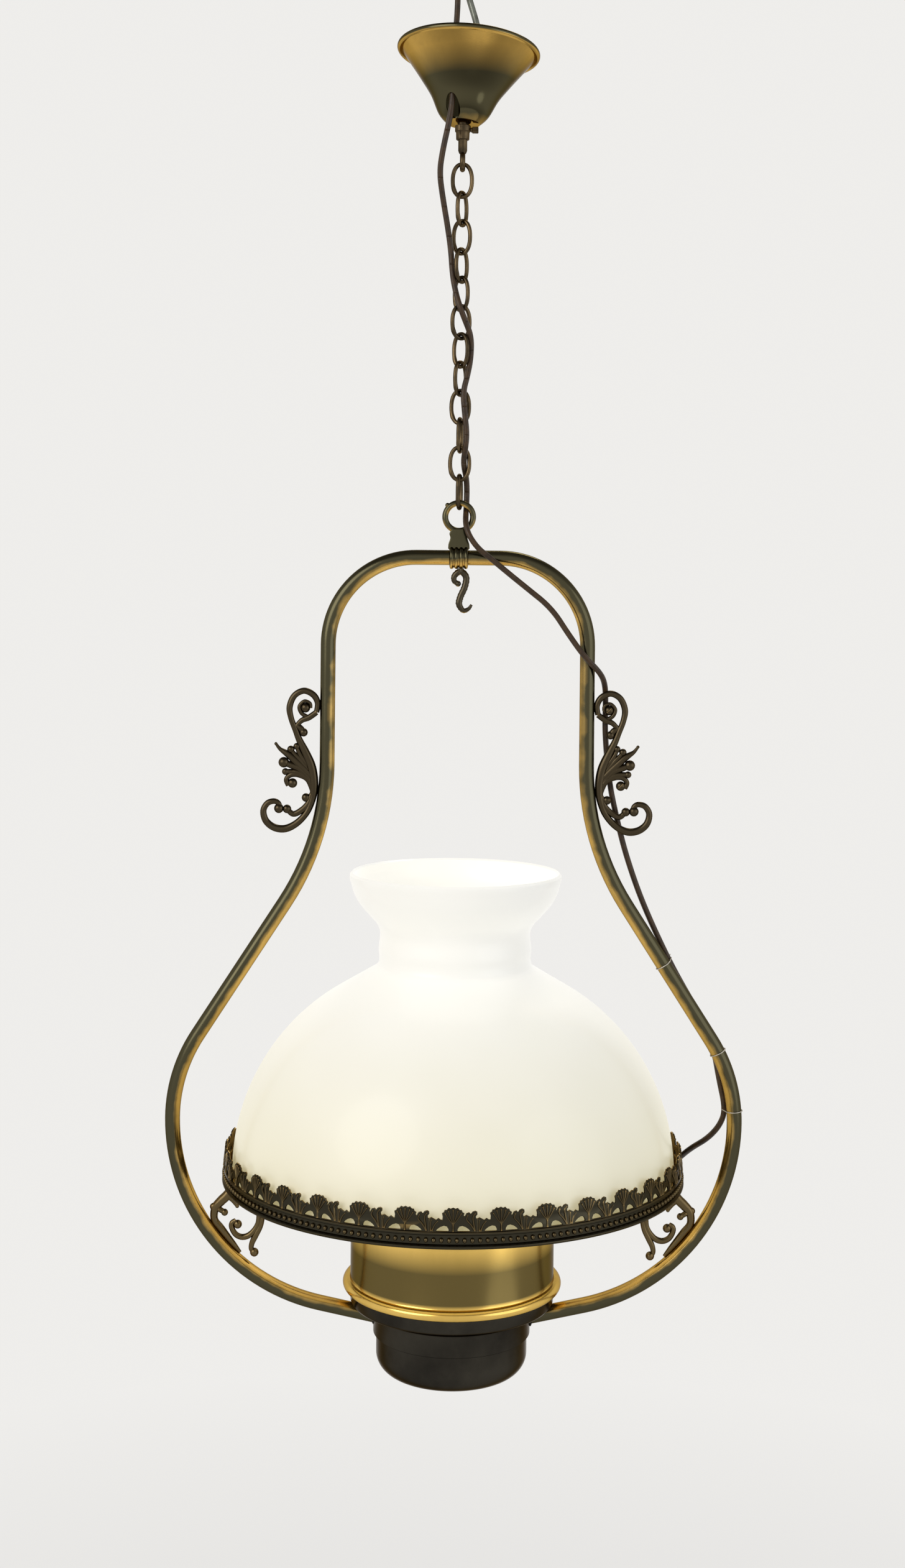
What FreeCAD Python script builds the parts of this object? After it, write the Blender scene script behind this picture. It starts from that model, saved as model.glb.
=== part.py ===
import FreeCAD, Part
import math
import os

# Suspension lamp: a ceiling hook, an eye rod with its canopy, a woven-through chain and a harp of
# brass tube that carries a pierced gallery with an opal dome, a drop-in font and a holder bowl.
# Millimetres, +Z up, X along the harp, Y away from the viewer. The origin is where the hook's
# screw enters the ceiling, so nearly every height is negative.

os.makedirs("parts", exist_ok=True)
V = FreeCAD.Vector

# Ceiling hook and terminal block
hook_wire = 5.0
hook_thread = 25.0
hook_straight = 4.0
hook_drop = 61.0
hook_bowl_radius = 8.5
hook_bow = 11.0
block_size = V(11.0, 9.0, 16.0)
block_centre = (-5.0, -9.0)
block_screw_radius = 1.7

# Eye rod, canopy and collar
hang_gap = 0.2
eye_radius = 5.8
eye_wire = 4.4
rod_radius = 3.6
rod_length = 87.7
slip_gap = 0.06
canopy_height = 62.0
canopy_brim_radius = 57.5
canopy_neck_radius = 13.4
canopy_wall = 1.0
canopy_lean = 4.0
canopy_pitch = 6.0
canopy_hole_radius = 5.9
brim_roll = 2.6
collar_drop = 120.5
collar_height = 11.5
collar_top_radius = 6.3
collar_foot_radius = 5.3
screw_radius = 1.5
screw_head_radius = 2.7
screw_head_length = 6.0

# Chain
link_count = 12
link_wire = 3.3
link_width = 18.6
link_pitch = 22.6
link_yaws = [0, 62, -31, 56, -47, 26, -46, 56, -23, 80, 0, 80]

# Hanger and harp tube
hanger_ring_radius = 11.1
hanger_ring_wire = 4.8
shank_length = 32.6
shank_width = 16.6
shank_depth = 7.0
clamp_width = 15.2
clamp_radius = 8.8
reed_count = 4
reed_groove = 0.9
tube_radius = 6.0
harp_shoulder_radius = 70.0
harp_half_width = 103.6
harp_straight = 95.4
flare_radius = 205.0
flare_turn = 32.8
belly_gap = 36.4
belly_upper_radius = 122.0
belly_lower_radius = 150.0
belly_turn = 78.0
tail_tuck = 3.8

# Gallery
shade_gap = 6.6
gallery_wall = 2.0
gallery_rise = 95.5
band_height = 12.5
ledge_drop = 4.5
ledge_width = 18.0
ledge_thickness = 2.0
bead_proud = 1.2
bead_height = 4.2
crown_height = 16.7
crown_wall = 1.6
crown_lean = 1.5
crown_count = 33

# Opal dome
shade_base_radius = 175.4
shade_wall = 3.0
seat_gap = 0.3
dome_lower_radius = 160.0
dome_lower_turn = 24.0
dome_upper_radius = 189.0
dome_upper_turn = 33.0
neck_waist_radius = 60.0
neck_height = 45.0
neck_collar = 24.0
rim_radius = 84.0
rim_height = 27.0
lip_height = 3.0

# Font, burner collar and lampholder
font_radius = 81.0
font_height = 67.0
font_wall = 1.0
flange_rise = 29.3
flange_radius = 86.0
flange_height = 7.0
spigot_radius = 74.0
spigot_depth = 7.0
font_dome = 9.0
burner_radius = 24.0
burner_height = 7.0
socket_radius = 20.0
socket_height = 44.0
socket_wall = 2.2
bulb_radius = 30.0
bulb_length = 104.0
cap_radius = 13.2
cap_length = 24.0

# Holder ring and bowl
holder_radius = 80.5
holder_height = 11.0
holder_wall = 1.6
holder_cone = 7.0
collar_band_radius = 62.4
collar_band_height = 18.0
bowl_radius = 60.0
bowl_height = 34.5
bowl_corner = 14.0
bowl_wall = 1.2
tube_tuck = 5.0

# Flat facets round the turned pieces, and round the cast bars
ring_sides = 66
dome_sides = 44
drum_sides = 32
small_sides = 20
tube_sides = 12
casting_sides = 4
wire_sides = 6

# Cast ornaments
ornament_rise = 66.9
ornament_bar = 2.6
bracket_bar = 2.3

# Cord
cord_radius = 2.4
tie_wire = 0.7
tie_slack = 0.35
cord_sides = 6


def save(shape, node):
    """Writes one sub-part, and says how many solids and how much volume it holds."""
    shape.exportStep("parts/" + node + ".step")
    print(node, len(shape.Solids), "solids", round(shape.Volume), "mm3")


def outline(start, *steps):
    """A closed face in the XZ plane: a pair of numbers is a line, a pair of pairs is an arc."""
    here = V(start[0], 0, start[1])
    edges = []
    for step in steps + (start,):
        if isinstance(step[0], tuple):
            middle = V(step[0][0], 0, step[0][1])
            there = V(step[1][0], 0, step[1][1])
            edges.append(Part.Arc(here, middle, there).toShape())
        else:
            there = V(step[0], 0, step[1])
            if there.distanceToPoint(here) < 1e-6:
                continue
            edges.append(Part.LineSegment(here, there).toShape())
        here = there
    return Part.Face(Part.Wire(edges))


def turned(sides, *profile):
    """A turned piece about Z in flat facets, from its closed outline of radius and height."""
    def corner(point, n):
        angle = 2 * math.pi * n / sides
        return V(point[0] * math.cos(angle), point[0] * math.sin(angle), point[1])

    faces = []
    for n, here in enumerate(profile):
        there = profile[(n + 1) % len(profile)]
        if here[0] == 0 and there[0] == 0:
            continue
        if here[1] == there[1] and 0 in (here[0], there[0]):
            rim = [corner(max(here, there), k) for k in range(sides + 1)]
            faces.append(Part.Face(Part.makePolygon(rim if there[0] == 0 else rim[::-1])))
            continue
        for k in range(sides):
            corners = [corner(here, k), corner(here, k + 1), corner(there, k + 1), corner(there, k)]
            if here[0] == 0:
                corners.pop(0)
            if there[0] == 0:
                corners.pop()
            faces.append(Part.Face(Part.makePolygon(corners + [corners[0]])))
    return closed_solid(faces)


def closed_solid(faces):
    """A solid inside faces that close on each other."""
    solid = Part.Solid(Part.Shell(faces))
    if solid.Volume < 0:
        solid.reverse()
    return solid


def arc_points(centre, radius, start, end, steps):
    """Points on a circle, from one angle to another, both in degrees."""
    angles = [math.radians(start + (end - start) * n / steps) for n in range(steps + 1)]
    return [(centre[0] + radius * math.cos(a), centre[1] + radius * math.sin(a)) for a in angles]


def section(centre, along, across, radius, sides, flat=1.0):
    """The corners of a many-sided wire section. Its flat factor thins it along across."""
    other = along.cross(across)
    corners = []
    for n in range(sides):
        a = 2 * math.pi * (n + 0.5) / sides
        corners.append(centre + across * (radius * flat * math.cos(a)) + other * (radius * math.sin(a)))
    return corners


def bar(points, radii, sides, closed=False, across=V(0, 1, 0), flat=1.0):
    """A solid bar with a many-sided section that follows points lying in one plane."""
    count = len(points)
    rings = []
    for n, point in enumerate(points):
        before = points[n - 1] if n or closed else point
        after = points[(n + 1) % count] if n < count - 1 or closed else point
        into = (point - before).normalize() if n or closed else (after - point).normalize()
        out = (after - point).normalize() if n < count - 1 or closed else into
        along = (into + out).normalize()
        corners = section(point, along, across, radii[n], sides, flat)
        stretch = 1 / max(along.dot(into), 0.5)
        side = along.cross(across)
        rings.append([c + side * ((c - point).dot(side) * (stretch - 1)) for c in corners])
    faces = []
    for n in range(count if closed else count - 1):
        here, there = rings[n], rings[(n + 1) % count]
        for k in range(sides):
            m = (k + 1) % sides
            faces += quad(here[k], here[m], there[m], there[k])
    if not closed:
        first, last = rings[0][::-1], rings[-1]
        faces += [Part.Face(Part.makePolygon(r + [r[0]])) for r in (first, last)]
    return closed_solid(faces)


def quad(a, b, c, d):
    """One flat face of four corners, or two of three where the four don't lie in a plane."""
    normal = (b - a).cross(c - a)
    if normal.Length > 1e-9 and abs((d - a).dot(normal.normalize())) < 1e-6:
        return [Part.Face(Part.makePolygon([a, b, c, d, a]))]
    return [Part.Face(Part.makePolygon([a, b, c, a])), Part.Face(Part.makePolygon([a, c, d, a]))]


def ring_path(radius, steps, centre_z=0.0):
    """Corners of a ring in the XZ plane, whose flat chords touch the circle of that radius."""
    reach = radius / math.cos(math.pi / steps)
    angles = [2 * math.pi * (n + 0.5) / steps for n in range(steps)]
    return [V(reach * math.cos(a), 0, centre_z + reach * math.sin(a)) for a in angles]


def smooth(points, steps):
    """Points along a curve through the given (x, z) points in the XZ plane."""
    curve = Part.BSplineCurve()
    curve.interpolate([V(x, 0, z) for x, z in points])
    first, last = curve.FirstParameter, curve.LastParameter
    return [curve.value(first + (last - first) * n / steps) for n in range(steps + 1)]


def scroll(points, steps, start_radius, end_radius, ball=0.0):
    """A cast scroll bar that tapers, with a round bead on its end where ball gives one's radius."""
    path = smooth(points, steps)
    last = len(path) - 1
    radii = [start_radius + (end_radius - start_radius) * n / last for n in range(last + 1)]
    solid = bar(path, radii, casting_sides)
    if ball:
        solid = solid.fuse(bead(path[-1], ball))
    return solid


def bead(centre, radius):
    """A faceted bead, turned about Y."""
    points = [centre + V(0, radius * h, 0) for h in (-0.9, -0.4, 0.4, 0.9)]
    return bar(points, [radius * w for w in (0.5, 1.0, 1.0, 0.5)], wire_sides, across=V(1, 0, 0))


def cord_corner(before, point, after):
    """Where the arc at a route point starts, passes its middle and ends, and its radius."""
    into, out = point - before, after - point
    half_turn = into.getAngle(out) / 2
    reach = 0.45 * min(into.Length, out.Length)
    radius = reach / math.tan(half_turn)
    start = point - into.normalize() * reach
    end = point + out.normalize() * reach
    inward = (out - into).normalize()
    return start, point + inward * (radius / math.cos(half_turn) - radius), end, radius


def tube_route(points):
    """The straight runs and tangent arcs of a cord, as one wire, and its smallest bend."""
    edges, tightest = [], 1e9
    here = points[0] + (points[1] - points[0]).normalize() * (seat_gap / 2)
    finish = points[-1] + (points[-2] - points[-1]).normalize() * (seat_gap / 2)
    for before, point, after in zip(points, points[1:], points[2:]):
        start, middle, end, radius = cord_corner(before, point, after)
        tightest = min(tightest, radius)
        edges.append(Part.LineSegment(here, start).toShape())
        edges.append(Part.Arc(start, middle, end).toShape())
        here = end
    edges.append(Part.LineSegment(here, finish).toShape())
    return Part.Wire(edges), tightest


def cord_tube(points, name):
    """A cord's solid along its route, with its length, its tightest bend and a volume check."""
    wire, tightest = tube_route(points)
    along = (points[1] - points[0]).normalize()
    across = along.cross(V(0.3, 1, 0.2)).normalize()
    start = points[0] + along * (seat_gap / 2)
    corners = section(start, along, across, cord_radius, cord_sides)
    profile = Part.Wire(Part.makePolygon(corners + [corners[0]]))
    solid = wire.makePipeShell([profile], True, False)
    area = Part.Face(profile).Area
    share = solid.Volume / (area * wire.Length)
    print(name, "length", round(wire.Length), "tightest bend", round(tightest, 1),
          "volume share", round(share, 3))
    return solid


def mirrored(shape):
    """The same casting on the other side of the lamp."""
    return shape.mirror(V(0, 0, 0), V(1, 0, 0))


# Levels that follow from the sizes above
hook_inner_top = -hook_drop + hook_wire / 2
top_eye_level = hook_inner_top + hang_gap - (eye_radius - eye_wire / 2)
low_eye_level = top_eye_level - rod_length
link_hole = link_pitch + hang_gap
eye_hold = low_eye_level - (eye_radius - eye_wire / 2)
first_link_level = eye_hold + hang_gap - link_hole / 2
link_levels = [first_link_level - link_pitch * n for n in range(link_count)]
chain_hold = link_levels[-1] - link_hole / 2
ring_level = chain_hold + hang_gap - (hanger_ring_radius - hanger_ring_wire / 2)
harp_top = ring_level - shank_length
collar_top = -collar_drop
screw_level = collar_top - collar_height * 0.3
gallery_radius = shade_base_radius + shade_gap


# Ceiling hook: a screw thread above the ceiling, a shank that bows out, and a round bowl
def ceiling_hook():
    radius = hook_wire / 2
    thread = Part.makeCylinder(radius, hook_thread + hook_straight, V(0, 0, -hook_straight))
    bowl_level = -hook_drop + hook_bowl_radius * math.cos(math.radians(10))
    bow_level = bowl_level + hook_bowl_radius * 1.1
    shank = smooth([(0, -hook_straight), (hook_bow * 0.35, -hook_drop * 0.3),
                    (hook_bow, bow_level), (hook_bowl_radius, bowl_level)], 6)
    bowl = arc_points((0, bowl_level), hook_bowl_radius, 0, -200, 10)
    points = shank + [V(x, 0, z) for x, z in bowl[1:]]
    return thread.fuse(bar(points, [radius] * len(points), wire_sides))


# Terminal block on the ceiling, with its two clamping screws, where the cord starts
def terminal_block():
    x, y = block_centre
    body = Part.makeBox(block_size.x, block_size.y, block_size.z,
                        V(x - block_size.x / 2, y - block_size.y / 2, -block_size.z))
    pitch = block_size.x / 2
    wells, screws = [], []
    for side in (-0.5, 0.5):
        place = V(x + side * pitch, y - block_size.y / 2, -block_size.z * 0.45)
        reach = V(0, block_size.y * 0.4, 0)
        ends = [block_screw_radius * 1.1] * 2
        wells.append(bar([place, place + reach], ends, 8, across=V(1, 0, 0)))
        screws.append(bar([place + reach * 0.4, place + reach], ends, 8, across=V(1, 0, 0)))
    return Part.makeCompound([body.cut(Part.makeCompound(wells))] + screws)


# Eye rod: a straight rod with a closed eye at each end, both across the harp
def eye_rod():
    reach = eye_radius + eye_wire * 0.2
    rod = Part.makeCylinder(rod_radius, rod_length - 2 * reach, V(0, 0, low_eye_level + reach))
    solid = rod
    for level in (top_eye_level, low_eye_level):
        eye = bar(ring_path(eye_radius, 12, level), [eye_wire / 2] * 12, wire_sides, closed=True)
        eye.rotate(V(0, 0, level), V(0, 0, 1), 90)
        solid = solid.fuse(eye)
    return solid


# Canopy: a spun bell, open upwards, with a rolled brim. It hangs crooked on its collar.
def canopy_profile():
    """The bell's outer outline from its neck up to its brim, as radius and height."""
    brim, neck, top = canopy_brim_radius - brim_roll, canopy_neck_radius, canopy_height
    shares = [(0.0, 0.0), (0.18, 0.14), (0.34, 0.47), (0.54, 0.70), (1.0, 0.96)]
    return [(neck + (brim - neck) * r, top * h) for r, h in shares]


def canopy():
    outer = canopy_profile()
    inner = [(r - canopy_wall, h + canopy_wall) for r, h in reversed(outer[1:])]
    throat = rod_radius + 1.2
    roll = [(canopy_brim_radius, canopy_height * 0.96), (canopy_brim_radius, canopy_height),
            (canopy_brim_radius - 1.6 * brim_roll, canopy_height)]
    bell = turned(drum_sides, (throat, 0), *(outer + roll + inner), (throat, canopy_wall))
    x, y = drop_route[-1].x, drop_route[-1].y
    slot = Part.makeCylinder(canopy_hole_radius, canopy_height, V(x, y, -canopy_height * 0.2))
    bell = bell.cut(slot.common(Part.makeCylinder(2 * canopy_neck_radius, canopy_height * 0.6)))
    bell.rotate(V(0, 0, 0), V(0, 1, 0), canopy_lean)
    bell.rotate(V(0, 0, 0), V(1, 0, 0), -canopy_pitch)
    tip = canopy_neck_radius * math.sin(math.radians(canopy_lean + canopy_pitch))
    bell.translate(V(0, 0, collar_top + seat_gap + tip * 0.55))
    return bell


# Collar that slides on the rod, and the thumb screw that grips it
def canopy_collar():
    bore = rod_radius + slip_gap
    foot = collar_top - collar_height
    body = turned(small_sides, (0, collar_top), (collar_top_radius, collar_top),
                  (collar_top_radius, collar_top - collar_height * 0.45),
                  (collar_foot_radius, foot), (0, foot))
    rod_hole = Part.makeCylinder(bore, collar_height, V(0, 0, foot))
    screw_hole = Part.makeCylinder(screw_radius + slip_gap, collar_top_radius * 2,
                                   V(0, 0, screw_level), V(1, 0, 0))
    return body.cut(Part.makeCompound([rod_hole, screw_hole]))


def thumb_screw():
    tip = rod_radius + slip_gap
    shank_end = collar_top_radius + seat_gap
    shank = Part.makeCylinder(screw_radius, shank_end - tip, V(tip, 0, screw_level), V(1, 0, 0))
    ends = [V(shank_end, 0, screw_level), V(shank_end + screw_head_length, 0, screw_level)]
    return shank.fuse(bar(ends, [screw_head_radius] * 2, 8))


# Chain link: round wire bent to an oval, its joint welded shut
def chain_link(level, yaw):
    radius = (link_width - link_wire) / 2
    bends = 5
    half_straight = (link_hole + link_wire) / 2 - radius * math.cos(math.pi / bends / 2)
    upper = arc_points((0, half_straight), radius, 0, 180, bends)
    lower = arc_points((0, -half_straight), radius, 180, 360, bends)
    path = [V(x, 0, z) for x, z in upper + lower]
    link = bar(path, [link_wire / 2] * len(path), wire_sides, closed=True)
    link.rotate(V(0, 0, 0), V(0, 0, 1), yaw)
    link.translate(V(0, 0, level))
    return link


# Hanger: a ring, a waisted shank and a reeded clamp round the middle of the harp tube
def frame_hanger():
    ring = bar(ring_path(hanger_ring_radius, 16, ring_level), [hanger_ring_wire / 2] * 16,
               wire_sides, closed=True)
    top = ring_level - hanger_ring_radius
    foot = harp_top + tube_radius * 0.6
    half = shank_width / 2
    depth = shank_depth / 2
    face = outline((-half * 1.05, top + 4), (-half, top - 4), (-half * 1.05, foot),
                   (half * 1.05, foot), (half, top - 4), (half * 1.05, top + 4))
    shank = face.extrude(V(0, shank_depth, 0))
    shank.translate(V(0, -depth, 0))
    hole = Part.makeCylinder(hanger_ring_radius - hanger_ring_wire / 2, shank_depth * 2,
                             V(0, -shank_depth, ring_level), V(0, 1, 0))
    clamp = []
    reed = clamp_width / reed_count
    for n in range(reed_count):
        start = -clamp_width / 2 + reed * n
        clamp.append(clamp_slice(start, reed - reed_groove, clamp_radius))
        if n < reed_count - 1:
            clamp.append(clamp_slice(start + reed - reed_groove, reed_groove, clamp_radius - 0.8))
    body = ring.fuse([shank.cut(hole)] + clamp)
    bore = bar([V(-clamp_width, 0, harp_top), V(clamp_width, 0, harp_top)], [tube_radius] * 2,
               tube_sides)
    return body.cut(bore).removeSplitter()


def clamp_slice(start, width, radius):
    """One reed or groove of the clamp, a many-sided disc round the tube."""
    points = [V(start, 0, harp_top), V(start + width, 0, harp_top)]
    return bar(points, [radius] * 2, tube_sides)


# Harp: one half of the bent tube, from the clamp over the shoulder to the holder's collar. It is
# as wide at its belly as the gallery needs, and its ends reach into the collar.
def harp_half_path():
    """Points along the tube's middle line, from the clamp outwards and down, and its key places."""
    shoulder_x = harp_half_width - harp_shoulder_radius
    side_top = harp_top - harp_shoulder_radius
    side_foot = side_top - harp_straight
    turn, end = math.radians(flare_turn), math.radians(belly_turn)
    slope = V(math.sin(turn), 0, -math.cos(turn))
    tail = V(-math.sin(end), 0, -math.cos(end))
    shoulder = arc_points((shoulder_x, side_top), harp_shoulder_radius, 90, 0, 7)
    flare = arc_points((harp_half_width + flare_radius, side_foot), flare_radius,
                       180, 180 + flare_turn, 3)
    flare_end = V(flare[-1][0], 0, flare[-1][1])
    widest = gallery_radius + belly_gap + tube_radius
    belly_x = widest - belly_upper_radius * (1 - math.cos(turn))
    belly_start = flare_end + slope * ((belly_x - flare_end.x) / math.sin(turn))
    upper = belly_start - V(math.cos(turn), 0, math.sin(turn)) * belly_upper_radius
    lower = upper + V(belly_upper_radius - belly_lower_radius, 0, 0)
    belly = arc_points((upper.x, upper.z), belly_upper_radius, flare_turn, 0, 4)
    belly += arc_points((lower.x, lower.z), belly_lower_radius, 0, -belly_turn, 8)[1:]
    belly_end = V(belly[-1][0], 0, belly[-1][1])
    tail_length = (belly_end.x - collar_band_radius + tail_tuck) / math.sin(end)
    line = [(0, harp_top)] + shoulder + flare + belly
    points = [V(x, 0, z) for x, z in line] + [belly_end + tail * tail_length]
    places = {"side_foot": V(harp_half_width, 0, side_foot), "flare_end": flare_end,
              "belly_start": belly_start, "upper": upper, "lower": lower,
              "belly_end": belly_end, "tail": tail, "tail_length": tail_length}
    return points, places


# Levels of what the harp carries, which follow from where its ends come out
harp_line, harp = harp_half_path()
ornament_top = harp["side_foot"].z + ornament_rise
flange_level = harp_line[-1].z + flange_rise
font_top = flange_level + font_height
band_top = flange_level + gallery_rise
band_foot = band_top - band_height
ledge_top = band_top - ledge_drop
shade_base = ledge_top + seat_gap


def harp_half():
    return bar(harp_line, [tube_radius] * len(harp_line), tube_sides)


# Smoke-bell hook below the clamp: a curled head and an open crook
def smoke_bell_hook():
    top = harp_top - clamp_radius
    head = [(-0.4, -12.0), (-3.4, -9.8), (-3.2, -5.6), (1.6, -2.2), (6.0, -6.6), (5.0, -14.5),
            (1.6, -22.5), (0.6, -28.5), (4.0, -33.4), (8.2, -32.0), (10.6, -28.6)]
    path = smooth([(x, top + z) for x, z in head], 18)
    radii = [2.2] * 5 + [2.6] * 9 + [2.2, 1.9, 1.6, 1.3, 0.9]
    hook = bar(path, radii, wire_sides, flat=0.8)
    peg = Part.makeBox(6.0, 4.0, 3.0, V(-1.4, -2.0, top - 2.8))
    return hook.fuse([bead(path[0], 2.6), peg])


# Scroll ornament on the outer side of the harp. Its points are distances out from the tube's
# middle line and down from the ornament's top.
main_stem = [(9.0, 26.0), (7.9, 18.6), (11.5, 12.1), (19.0, 8.9), (26.6, 12.9), (30.3, 21.8),
             (29.1, 30.7), (25.4, 40.4), (22.2, 48.4), (17.4, 58.1), (13.3, 68.6), (11.3, 79.1),
             (11.3, 88.8), (12.8, 97.7), (16.6, 106.6), (23.8, 114.7), (32.7, 119.1),
             (41.6, 118.3), (48.4, 113.0), (50.5, 105.0), (47.2, 98.9), (41.6, 97.3),
             (38.4, 101.5)]
loop_return = [(9.0, 26.0), (14.9, 30.3), (20.6, 32.7), (25.6, 38.1)]
top_curl = [(14.9, 30.3), (21.4, 27.9), (22.6, 22.2), (19.0, 19.0), (17.0, 23.6)]
stem_bud = [(24.0, 37.0), (22.4, 40.0), (19.8, 42.0)]
low_branch = [(12.1, 91.2), (14.6, 98.7), (19.8, 104.2), (26.6, 107.8), (31.7, 103.0)]
low_bud = [(12.4, 94.0), (17.0, 94.4)]
leaf_spike = [(16.0, 71.0), (24.0, 67.0), (31.1, 62.2), (41.2, 52.1)]
leaf_upper = [(16.0, 63.5), (21.0, 58.5), (25.0, 53.6)]
leaf_middle = [(17.0, 66.5), (24.0, 60.5), (29.9, 56.2)]
leaf_lobe = [(17.0, 76.0), (27.0, 70.5), (35.6, 65.6)]
leaf_curl = [(13.4, 86.2), (19.0, 79.1), (25.4, 75.1), (31.1, 75.8), (32.8, 80.4), (28.6, 83.6)]


def scroll_ornament():
    def place(points):
        return [(harp_half_width + out, ornament_top - down) for out, down in points]

    thick, thin = ornament_bar, ornament_bar * 0.7
    pieces = [
        scroll(place(main_stem), 27, thick, thick, 3.4),
        scroll(place(loop_return), 5, thick, thin),
        scroll(place(top_curl), 6, thick, thin, 3.6),
        scroll(place(stem_bud), 2, thin, thin, 2.3),
        scroll(place(low_branch), 5, thick, thin, 2.9),
        scroll(place(low_bud), 1, thin, thin, 3.0),
        scroll(place(leaf_spike), 3, 3.2, 0.9),
        scroll(place(leaf_upper), 2, 2.6, 1.8, 2.5),
        scroll(place(leaf_middle), 2, 2.8, 1.8, 2.5),
        scroll(place(leaf_lobe), 2, 3.2, 2.6, 3.8),
        scroll(place(leaf_curl), 5, 3.2, thin, 3.4),
    ]
    return pieces[0].fuse(pieces[1:])


# Bracket: a leafy arm from the gallery down to the harp, with a second scroll under the ring
def bracket():
    seat_radius = belly_lower_radius - tube_radius - bracket_bar - 0.5

    def on_tube(degrees, inset=0.0):
        a, reach = math.radians(degrees), seat_radius - inset
        return (harp["lower"].x + reach * math.cos(a), harp["lower"].z - reach * math.sin(a))

    under = ledge_top - ledge_thickness
    root = gallery_radius - gallery_wall - 4.0
    fork = (root + 7.0, band_foot - 22.0)
    arm = [(root, under - bracket_bar), (root + 1.0, band_foot - 12.0), fork,
           on_tube(33.0, 3.2), on_tube(39.0, 0.8), on_tube(46.0, -0.8), on_tube(53.0, -1.1)]
    tongue = [fork, (root + 14.0, band_foot - 28.0), (root + 18.0, band_foot - 31.5)]
    arm_curl = [fork, (root + 6.5, band_foot - 27.0), (root + 3.0, band_foot - 30.5),
                (root + 2.0, band_foot - 35.0)]
    stem_x = root - 21.0
    stem = [(root, under - bracket_bar), (root - 12.0, under - 6.0), (stem_x, under - 18.0),
            (stem_x - 3.0, under - 34.0), (stem_x - 2.2, under - 46.0), (stem_x + 2.0, under - 55.0),
            (stem_x + 4.8, under - 61.0), (stem_x + 5.4, under - 66.0), (stem_x + 3.0, under - 68.6)]
    branch = [(stem_x - 1.0, under - 44.0), (stem_x + 1.4, under - 48.0), (stem_x + 6.5, under - 54.5),
              (stem_x + 12.4, under - 56.6), (stem_x + 17.8, under - 54.6), (stem_x + 21.0, under - 49.6),
              (stem_x + 21.2, under - 45.6), (stem_x + 17.0, under - 45.4)]
    pieces = [
        scroll(arm, 12, bracket_bar * 1.5, bracket_bar * 0.6),
        scroll(tongue, 3, bracket_bar, 0.9),
        scroll(arm_curl, 3, bracket_bar * 0.8, bracket_bar * 0.8, 2.4),
        scroll(stem, 12, bracket_bar, bracket_bar * 0.85, 2.6),
        scroll(branch, 8, bracket_bar, bracket_bar * 0.8, 2.9),
    ]
    return pieces[0].fuse(pieces[1:])


# Gallery band: a cast ring with a ledge for the dome, a bead row and a turned lip
def gallery_band():
    inner = gallery_radius - gallery_wall
    bead_middle = band_top - band_height * 0.55
    return turned(
        ring_sides, (inner, band_top), (gallery_radius, band_top),
        (gallery_radius, bead_middle + bead_height / 2),
        (gallery_radius + bead_proud, bead_middle),
        (gallery_radius, bead_middle - bead_height / 2),
        (gallery_radius, band_foot), (inner, band_foot),
        (inner, ledge_top - ledge_thickness), (inner - ledge_width, ledge_top - ledge_thickness),
        (inner - ledge_width, ledge_top), (inner, ledge_top))


# Pierced crown: a palmette over two windows, a two-lobed leaf and a bud, cut from a thin ring.
# Shares of one period along the ring, and of the crown's height.
crown_skyline = [(0.0, 1.0), (0.11, 0.92), (0.165, 0.77), (0.23, 0.68), (0.33, 0.82),
                 (0.475, 0.87), (0.53, 0.75), (0.555, 0.44), (0.61, 0.57), (0.675, 0.61),
                 (0.725, 0.50), (0.80, 0.56), (0.83, 0.78), (0.89, 0.92), (1.0, 1.0)]
crown_windows = [
    [(0.085, 0.02), (0.10, 0.24), (0.25, 0.22), (0.36, 0.02)],
    [(0.64, 0.02), (0.77, 0.22), (0.90, 0.24), (0.94, 0.02)],
]


def gallery_crown():
    foot_radius = gallery_radius
    tip_radius = gallery_radius - crown_lean
    top = band_top + crown_height
    wall = turned(ring_sides, (foot_radius - crown_wall, band_top), (foot_radius, band_top),
                  (tip_radius, top), (tip_radius - crown_wall, top))
    period = 2 * math.pi * gallery_radius / crown_count
    above = 1.2

    def cutter(shares):
        corners = [V(gallery_radius - 3 * crown_wall, (s - 0.5) * period, band_top + h * crown_height)
                   for s, h in shares]
        face = Part.Face(Part.makePolygon(corners + [corners[0]]))
        return face.extrude(V(5 * crown_wall, 0, 0))

    sky = [(-0.01, 1.0)] + crown_skyline[1:-1] + [(1.01, 1.0), (1.01, above), (-0.01, above)]
    tools = []
    for n in range(crown_count):
        for shape in [cutter(sky)] + [cutter(w) for w in crown_windows]:
            shape.rotate(V(0, 0, 0), V(0, 0, 1), 360.0 * n / crown_count)
            tools.append(shape)
    return wall.cut(Part.makeCompound(tools))


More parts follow.
